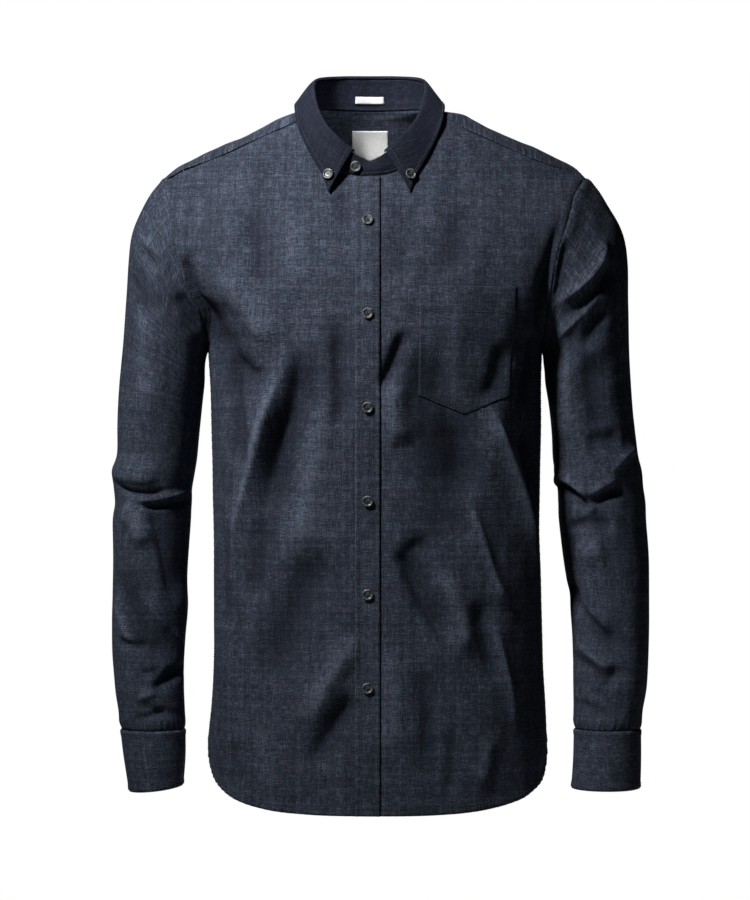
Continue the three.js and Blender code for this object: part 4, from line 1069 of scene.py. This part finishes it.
POCKET_HEM = 26.5
POCKET_LIFT = 0.8
over, fall = over_and_fall(56, 70)
outer = POCKET["outer_top"] + (POCKET["outer_bottom"] - POCKET["outer_top"]) * fall
z = POCKET["top"] + (POCKET["bottom"] - POCKET["top"]) * fall
z -= (POCKET["bottom"] - POCKET["point"]) * pointed(over, fall, 4)
grid = body_at(POCKET["inner"] + (outer - POCKET["inner"]) * over, z)
normals = grid_normals(grid, body_guide(grid))
down, up, across, back_across, side_gap = gaps(grid)
edge_gap = np.minimum(side_gap, up)
relief = fold_heights(grid, normals, front_folds)
rise = relief + waves(grid) + POCKET_LIFT + 0.25 * (1 - smooth(down, 26, 29)) - 0.25 * ridge(edge_gap, 2.2)
rise += pucker(down + across, edge_gap, 5, 0.15) + 0.5 * ridge(down, 12) * smooth(side_gap, 4, 30)
rows = [(across, POCKET_STITCH, 1), (back_across, POCKET_STITCH, 1)]
rows += [(up, POCKET_STITCH, 0), (down, POCKET_HEM, 0)]
grain = (across + WEAVE_START["pocket"], down)
seams = (side_gap + STITCH_GROOVE - POCKET_STITCH, up + STITCH_GROOVE - POCKET_STITCH)
make("pocket", grid, normals, rise, grain, seams, rows, relief=relief)


# Sleeves and cuffs
def ring_points(sign, rows, angles):
    """Rings of a sleeve or a cuff between their outer and inner points, at each angle."""
    out = np.stack([sign * rows[:, 0], rows[:, 4], rows[:, 1]], axis=-1)[:, None]
    inside = np.stack([sign * rows[:, 2], rows[:, 4], rows[:, 3]], axis=-1)[:, None]
    middle, reach = (out + inside) / 2, (out - inside) / 2
    points = middle + reach * np.cos(np.radians(angles))[None, :, None]
    points[..., 1] -= rows[:, 5:6] * np.sin(np.radians(angles))
    return points


def spread(rows, count):
    """Rows of a table at even distances along a sleeve."""
    keyed = np.column_stack([np.arange(len(rows)), rows])
    fine = np.linspace(0, len(rows) - 1, 800)
    outer, inner = [np.column_stack([read(keyed, fine, k) for k in pair]) for pair in ((1, 2), (3, 4))]
    step = np.linalg.norm(np.diff(outer, axis=0), axis=1) + np.linalg.norm(np.diff(inner, axis=0), axis=1)
    run = np.concatenate([[0], np.cumsum(step)])
    at = np.interp(np.linspace(0, run[-1], count), run, fine)
    return at, np.column_stack([read(keyed, at, k) for k in range(1, 7)])


def tube_normals(grid):
    """Normals of a closed tube, alike at the line where it closes."""
    normals = grid_normals(grid, grid - grid.mean(axis=1, keepdims=True))
    normals[:, 0] = normals[:, -1] = unit(normals[:, 0] + normals[:, -1])
    return normals


SLEEVE_RINGS = 300
SLEEVE_COLUMNS = 133
SLEEVE_RADIUS = 62.0
SLEEVE_AWAY = np.array([0.97, 0, -0.245])
# The sleeve's hidden side repeats the folds of its front from this one on, a little lower and fainter
HIDDEN_FIRST = 5
HIDDEN_DROP = 9
HIDDEN_SHARE = 0.9
angles = np.linspace(-180, 180, SLEEVE_COLUMNS)
sleeves = {}
for side, sign, rows, folds in (
    ("right", -1, SLEEVE_RIGHT, SLEEVE_RIGHT_FOLDS),
    ("left", 1, SLEEVE_LEFT, SLEEVE_LEFT_FOLDS),
):
    at, sizes = spread(rows, SLEEVE_RINGS)
    shift = armhole_point(sign, angles) - ring_points(sign, np.array(rows[:1], float), angles)[0]
    fade = read(np.column_stack([np.arange(20), ARMHOLE_FADE]), at, 1)
    grid = ring_points(sign, sizes, angles) + shift[None] * np.clip(fade, 0, 1)[:, None, None]
    grid = grid + SLEEVE_AWAY * (sign, 1, 1) * SEAM_GAP * smooth(at, 1, 0)[:, None, None]
    normals = tube_normals(grid)
    hidden = []
    for height, first, second, crisp, *line in folds[HIDDEN_FIRST:]:
        lower = [(x, z - HIDDEN_DROP) for x, z in line]
        hidden.append((height * HIDDEN_SHARE, second, first, crisp, *lower))
    placed = laid(folds, grid, normals) + laid(hidden, grid, normals, back=True)
    down, up, across, back_across, under = gaps(grid)
    settled = smooth(down, 0, SEAM_FADE) * smooth(up, 0, SEAM_FADE)
    relief = fold_heights(grid, normals, placed, SLEEVE_GAIN) * settled
    rise = relief + waves(grid, 0.9) * settled + ridge(down - 5, 6) - 1.1 * ridge(down, 1.5)
    rise += pucker(across, down, 10, 0.35) + pucker(across, up, 12, 0.5)
    rise -= 0.8 * ridge(up, 1.6) + 0.5 * ridge(under, 1.5)
    around = np.radians(angles) * SLEEVE_RADIUS + WEAVE_START["sleeve"] * sign
    grain = (around, down.mean(axis=1, keepdims=True))
    cloth = make(
        f"sleeve_{side}", grid, normals, rise, grain, (under + 20, down + 20),
        tucks=("top", "bottom"), relief=relief,
    )
    sleeves[side] = (cloth, normals)

CUFF_CLOTH = 2.0
CUFF_ROWS = 34
CUFF_SLIT = -97.0
CUFF_LAP = 38
SLIT_STRIP = (-126, -90)
SLIT_TOP = -520
for side, sign in SIDES:
    grid = ring_points(sign, spread(CUFFS[side], CUFF_ROWS)[1], angles)
    normals = tube_normals(grid)
    down, up, across, back_across, _ = gaps(grid)
    ends = np.minimum(down, up)
    lap = smooth(angles, CUFF_SLIT - CUFF_LAP, CUFF_SLIT - CUFF_LAP + 4)
    lap = lap * (1 - smooth(angles, CUFF_SLIT - 1.4, CUFF_SLIT + 1.4))
    rise = waves(grid, 0.5) + 0.5 * ridge(ends - 3, 2.5) - 0.9 * ridge(ends, 1.0)
    rise += pucker(across, ends, 7, 0.2) + 1.3 * lap[None, :]
    rows = [(down, CUFF_STITCH, 0), (up, CUFF_STITCH, 0)]
    grain = (across + WEAVE_START["cuff"] * sign, down)
    make(f"cuff_{side}", grid, normals, rise, grain, (99, ends + 0.4), rows, thickness=CUFF_CLOTH)
    cloth, normals = sleeves[side]
    picked = np.nonzero((angles >= SLIT_STRIP[0]) & (angles <= SLIT_STRIP[1]))[0]
    start = int(np.argmin(np.abs(cloth[:, picked[0], 2] - SLIT_TOP)))
    normals = normals[start:, picked]
    grid = cloth[start:, picked] + normals * PLACKET_LIFT
    down, up, across, back_across, side_gap = gaps(grid)
    rise = -0.6 * ridge(np.minimum(side_gap, down), 1.0)
    rows = [(across, NARROW_STITCH, 1), (back_across, NARROW_STITCH, 1), (down, NARROW_STITCH, 0)]
    grain = (across + WEAVE_START["sleeve_placket"], down)
    seams = (side_gap + NARROW_STITCH, down + NARROW_STITCH)
    make(f"sleeve_placket_{side}", grid, normals, rise, grain, seams, rows)


# Collar and its stand
def line_point(rows, sign, angle):
    """A point of the fold line or of the collar's free edge."""
    out, y, z = [read(rows, angle, k) for k in (1, 2, 3)]
    return np.stack([NECK_MIDDLE + sign * out, y, z], axis=-1)


COLLAR_CLOTH = 1.6
STAND_COLUMNS = 210
STAND_ROWS = 22
END_ROUND = 8.2
sign, angle, outward = round_neck(-STAND_END_ANGLE, STAND_COLUMNS)
lap = sign * STAND_LAP * (1 - smooth(angle, NECK_EDGE_ANGLE, COLLAR_FRONT_ANGLE))
base = neck_point(sign, np.maximum(angle, -9)) + outward * lap[:, None]
base[:, 2] += SEAM_GAP + 0.3 + 0.5 * np.abs(lap)
top = line_point(FOLD_LINE, sign, angle) + outward * lap[:, None]
end_round = 1 - 0.42 * smooth(END_ROUND - (angle + STAND_END_ANGLE), 0, END_ROUND) ** 2
rise_share = np.linspace(0, 0.97, STAND_ROWS)[:, None, None] * end_round[None, :, None]
grid = base[None] + (top - base)[None] * rise_share
normals = grid_normals(grid, outward)
down, up, across, back_across, side_gap = gaps(grid)
crown = 0.8 * np.sin(math.pi * rise_share[..., 0]) - 0.5 * ridge(down, 1.2) - 0.5 * ridge(side_gap, 1.0)
grain = (across + WEAVE_START["collar_stand"], down)
stand = make(
    "collar_stand", grid, normals, crown, grain, (side_gap + 0.4, down + 1), [(down, NARROW_STITCH, 0)],
    SHADED_COLLAR_DENIM, thickness=COLLAR_CLOTH,
)


def collar_rows(fall, sign, angle, outward):
    """Points of the collar's leaf, from its fold at 0 to its free edge at 1."""
    fold = line_point(FOLD_LINE, sign, angle)
    fold[..., 2] += FOLD_RISE
    edge = line_point(COLLAR_EDGE, sign, angle)
    return fold + (edge - fold) * fall + outward * (COLLAR_ROLL * np.sqrt(fall) * (1 - fall))


ROLL_ROWS = 6
LEAF_ROWS = 40
LEAF_COLUMNS = 220
sign, angle, outward = round_neck(COLLAR_FRONT_ANGLE, LEAF_COLUMNS)
fall = np.linspace(0, 1, LEAF_ROWS)[:, None, None] ** 1.35
leaf = collar_rows(fall, sign[None], angle[None], outward[None])
turn = (math.pi * (1 - np.linspace(0, 1, ROLL_ROWS + 1)[:-1]) * 0.5)[:, None, None]
roll = leaf[0] - outward * 2.4 * np.sin(turn) - np.array([0, 0, 1]) * 3.2 * (1 - np.cos(turn))
grid = np.concatenate([roll, leaf])
normals = grid_normals(grid, outward + np.array([0, 0, 1.0]))
down, up, across, back_across, side_gap = gaps(grid)
edge_gap = np.minimum(side_gap, up)
rise = waves(grid, 0.35) + 0.45 * ridge(edge_gap - 3, 2.2) - 0.6 * ridge(edge_gap, 0.9)
rise = rise * smooth(down, 4, 12) + pucker(across + down, edge_gap, 6, 0.12)
rows = [(gap, COLLAR_STITCH, 1, np.s_[ROLL_ROWS + 2:]) for gap in (across, back_across)]
rows.append((up, COLLAR_STITCH, 0))
seams = (side_gap + 0.3, np.minimum(up + 0.3, np.abs(down - down[ROLL_ROWS:ROLL_ROWS + 1]) + 0.2))
grain = (across + WEAVE_START["collar"], down)
make("collar", grid, normals, rise, grain, seams, rows, SHADED_COLLAR_DENIM, thickness=COLLAR_CLOTH)


# Labels: plain white tape inside the neck
def label_piece(name, points, lift):
    normals = grid_normals(points, np.array([0.0, -1.0, 0.0]))
    down, up, across, back_across, side_gap = gaps(points)
    rise = lift - 0.25 * ridge(np.minimum(np.minimum(down, up), side_gap), 1.0) + 0.3 * waves(points, 0.3)
    tape = points + normals * rise[..., None]
    piece = to_mesh(f"{name}_tape", tape, normals, TAPE, (across, down), thickness=0.7)
    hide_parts(name)
    return piece


over, fall = over_and_fall(29, 26)
neck_tape = body_at(-25 + 39.5 * over, 1.5 - 23 * fall - 10 * pointed(over, fall, 3), True)
neck_piece = label_piece("neck_label", neck_tape, 2.2)
share = np.linspace(0.22, 0.45, 9)[:, None, None]
columns = slice(STAND_COLUMNS // 2 - 8, STAND_COLUMNS // 2 + 8)
label_piece("band_label", stand[0, columns] * (1 - share) + stand[-1, columns] * share, 2.4)

# Buttons: radius and height from the middle of the back, round the rim, to the dished face
BUTTON_PROFILE = [
    (0, 0), (3.2, 0), (4.9, 0.35), (5.55, 0.9), (5.7, 1.45), (5.55, 2), (5.15, 2.35), (4.7, 2.4), (4.2, 2.2),
    (3.85, 1.8), (3.4, 1.62), (2.6, 1.55), (0, 1.5),
]
BUTTON_CORNERS = 40
HOLE_OFFSET = 0.95
STRAND_RADIUS = 0.17


def button_mesh():
    """A four-hole button with a rounded rim and a dished middle, its face along +Z."""
    count = BUTTON_CORNERS
    corners = [(0, 0, BUTTON_PROFILE[0][1])]
    for radius, height in BUTTON_PROFILE[1:-1]:
        for turn in (2 * math.pi * k / count for k in range(count)):
            corners.append((radius * math.cos(turn), radius * math.sin(turn), height))
    corners.append((0, 0, BUTTON_PROFILE[-1][1]))
    pairs = [(k, (k + 1) % count) for k in range(count)]
    last = 1 + (len(BUTTON_PROFILE) - 3) * count
    faces = [(0, 1 + b, 1 + a) for a, b in pairs]
    for start in range(1, last, count):
        faces += [(start + a, start + b, start + count + b, start + count + a) for a, b in pairs]
    faces += [(last + a, last + b, len(corners) - 1) for a, b in pairs]
    whole = bpy.data.objects.new("button_blank", smooth_mesh("button", corners, faces))
    bpy.context.scene.collection.objects.link(whole)
    drills = []
    for x in (-HOLE_OFFSET, HOLE_OFFSET):
        for y in (-HOLE_OFFSET, HOLE_OFFSET):
            place = (x * METRES, y * METRES, 0)
            bpy.ops.mesh.primitive_cylinder_add(vertices=14, radius=0.00058, depth=0.006, location=place)
            drills.append(bpy.context.object)
            cut = whole.modifiers.new("hole", "BOOLEAN")
            cut.operation = "DIFFERENCE"
            cut.object = drills[-1]
    bpy.context.view_layer.update()
    shaped = bpy.data.meshes.new_from_object(whole.evaluated_get(bpy.context.evaluated_depsgraph_get()))
    shaped.polygons.foreach_set("use_smooth", np.ones(len(shaped.polygons), bool))
    shaped.set_sharp_from_angle(angle=math.radians(35))
    shaped.materials.clear()
    shaped.materials.append(PEARL)
    for spent in drills + [whole]:
        bpy.data.objects.remove(spent)
    return shaped


def button_thread():
    """Two bars of thread through the four holes, each of three strands."""
    corners, faces = [], []
    for x in (-HOLE_OFFSET, HOLE_OFFSET):
        for strand in (-0.24, 0.0, 0.24):
            for y, z in ((-1.05, 1.2), (-0.85, 1.9), (0, 2.02), (0.85, 1.9), (1.05, 1.2)):
                if y > -1:
                    for k in range(6):
                        a, b = len(corners) - 6 + k, len(corners) - 6 + (k + 1) % 6
                        faces.append((a, b, b + 6, a + 6))
                for turn in np.linspace(0, 2 * math.pi, 7)[:-1]:
                    reach = (STRAND_RADIUS * math.cos(turn), STRAND_RADIUS * math.sin(turn))
                    corners.append((x + strand + reach[0], y, z + reach[1]))
    mesh = smooth_mesh("button_thread", corners, faces)
    mesh.materials.append(THREAD)
    return mesh


BUTTON = button_mesh()
BUTTON_THREAD = button_thread()


def add_button(node, place, normal, spin):
    """Adds a button and its thread, facing along a normal and turned round it by spin degrees."""
    turn = Vector((0, 0, 1)).rotation_difference(Vector([float(c) for c in normal])).to_matrix().to_4x4()
    turn = turn @ Matrix.Rotation(math.radians(spin), 4, "Z")
    spot = [float(c) * METRES for c in place]
    piece = add_piece(f"{node}_pearl", BUTTON, turn, spot)
    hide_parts(node)
    add_piece(f"{node}_thread", BUTTON_THREAD, turn, spot)


def surface_spot(x, z):
    """A point of the finished band and the way it faces."""
    grid = body_at(np.array([[x - 1, x + 1]] * 2), np.array([[z + 1, z + 1], [z - 1, z - 1]]))
    normals = grid_normals(grid, body_guide(grid))
    rise = fold_heights(grid, normals, front_folds) + waves(grid) + PLACKET_LIFT
    cloth = grid + normals * rise[..., None]
    return cloth.mean(axis=(0, 1)), unit(normals.mean(axis=(0, 1)))


def leaf_point(sign, fall, angle):
    """A point of the collar's leaf on one side."""
    sign, angle = np.array(float(sign)), np.array(angle)
    return collar_rows(np.array(fall), sign, angle, out_at(sign, angle))


FRONT_BUTTONS = 6
BUTTON_LIFT = 0.5
COLLAR_BUTTON_ANGLE = 21.7
STAND_BUTTON_ANGLE = 11.5
CUFF_BUTTON_ANGLE = -108.0
front_spots = [surface_spot(BUTTON_LINE, FIRST_BUTTON - k * BUTTON_PITCH) for k in range(FRONT_BUTTONS)]
for k, (place, normal) in enumerate(front_spots):
    add_button(f"front_button_{k + 1}", place + normal * BUTTON_LIFT, normal, 9 * k - 14)

for side, sign in SIDES:
    place = leaf_point(sign, 0.8, COLLAR_BUTTON_ANGLE)
    beside = leaf_point(sign, 0.8, COLLAR_BUTTON_ANGLE + 1)
    below = leaf_point(sign, 0.82, COLLAR_BUTTON_ANGLE)
    normal = unit(np.cross(beside - place, below - place))
    normal = normal if normal[1] < 0 else -normal
    add_button(f"collar_button_{side}", place + normal * 0.9, normal, 20 * sign)

angle = np.array(STAND_BUTTON_ANGLE)
out = out_at(np.array(-1.0), angle)
place = neck_point(-1, angle) * 0.58 + line_point(FOLD_LINE, -1.0, angle) * 0.42
add_button("stand_button", place + out * 1.4, out, 12)

for side, sign in SIDES:
    size = np.array(CUFFS[side][1:2], float)
    ring = ring_points(sign, size, CUFF_BUTTON_ANGLE + np.array([-1, 0, 1]))[0]
    normal = unit(np.cross(ring[2] - ring[0], (0, 0, 1.0)))
    middle = ring_points(sign, size, np.linspace(-180, 180, 25))[0].mean(axis=0)
    normal = normal if normal @ (ring[1] - middle) > 0 else -normal
    add_button(f"cuff_button_{side}", ring[1] + normal * 1.6, normal, 15)

# Buttonholes: whipped edges on both sides of a slit, above and below each front button
HOLE_LENGTH = 15.0
WHIP_PITCH = 0.42
corners, faces = [], []
for place, normal in front_spots:
    along = unit(np.array([0, 0, 1.0]) - normal * normal[2])
    side = np.cross(along, normal)
    for way in (-1, 1):
        for t in np.arange(-HOLE_LENGTH / 2, HOLE_LENGTH / 2, WHIP_PITCH):
            spot = place + along * t + side * way * 0.85 + normal * 0.1
            ends = [spot - side * 0.62, spot + side * 0.62]
            spindle(corners, faces, ends, spot, along * 0.165, normal * 0.3, 4)
holes = smooth_mesh("buttonholes", corners, faces)
holes.materials.append(THREAD)
add_piece("buttonholes", holes)

# Camera, floor and soft light
camera_data = bpy.data.cameras.new("camera")
camera_data.sensor_fit = "VERTICAL"
camera_data.sensor_height = SENSOR_HEIGHT
camera_data.lens = CAMERA_LENS
camera = bpy.data.objects.new("camera", camera_data)
camera.location = CAMERA_PLACE
camera.rotation_euler = (math.radians(90), 0, 0)
bpy.context.scene.collection.objects.link(camera)
bpy.context.scene.camera = camera

place = (0, 0, FLOOR_HEIGHT)
bpy.ops.mesh.primitive_circle_add(vertices=96, radius=FLOOR_RADIUS, fill_type="NGON", location=place)
floor = bpy.context.object
floor.name = "floor"
floor.data.materials.append(floor_material())
floor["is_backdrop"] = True


def area_light(name, place, aim, width, height, power, spread=180):
    data = bpy.data.lights.new(name, "AREA")
    data.spread = math.radians(spread)
    data.shape = "RECTANGLE"
    data.size, data.size_y = width, height
    data.energy = power
    light = bpy.data.objects.new(name, data)
    light.location = place
    direction = Vector(aim) - Vector(place)
    light.visible_camera = False
    light.rotation_euler = direction.to_track_quat("-Z", "Y").to_euler()
    bpy.context.scene.collection.objects.link(light)


area_light("key", (-0.96, -1.12, 1.16), (-0.05, 0, -0.26), 0.3, 0.34, 2.85, spread=42)
area_light("front_fill", (-0.5, -3.4, 0.3), (0, 0, -0.4), 1.2, 1.2, 0.16)
area_light("back_right", (0.5, 3.0, 0.8), (0, 0, -0.35), 0.8, 0.8, 13)
area_light("back_left", (-0.5, 3.0, 0.8), (0, 0, -0.35), 0.8, 0.8, 13)
area_light("neck_light", (-0.75, -0.72, 1.2), (0.01, 0.06, -0.005), 0.12, 0.12, 0.1, spread=9)
area_light("inner_light", (-0.01, -0.03, -0.01), (0, 0.07, 0.015), 0.05, 0.03, 0.02)
area_light("floor_light", (0, 0, -0.9), (0, 0, -2), 3.2, 3.2, 4, spread=120)

world = bpy.data.worlds.new("studio")
bpy.context.scene.world = world
world.use_nodes = True
nodes, links = world.node_tree.nodes, world.node_tree.links
seen = nodes["Background"]
seen.inputs["Color"].default_value = (1, 1, 1, 1)
seen.inputs["Strength"].default_value = 1.0
soft = nodes.new("ShaderNodeBackground")
soft.inputs["Color"].default_value = (0.9, 0.93, 1, 1)
soft.inputs["Strength"].default_value = 0.006
path = nodes.new("ShaderNodeLightPath")
mix = nodes.new("ShaderNodeMixShader")
links.new(path.outputs["Is Camera Ray"], mix.inputs["Fac"])
links.new(soft.outputs["Background"], mix.inputs[1])
links.new(seen.outputs["Background"], mix.inputs[2])
links.new(mix.outputs["Shader"], nodes["World Output"].inputs["Surface"])
bpy.context.scene.view_settings.view_transform = "Standard"

bpy.context.view_layer.update()
boxes = {"cad": CAD_BOX, "visual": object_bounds()}
sizes = {name: [[float(c) for c in corner] for corner in box] for name, box in boxes.items()}
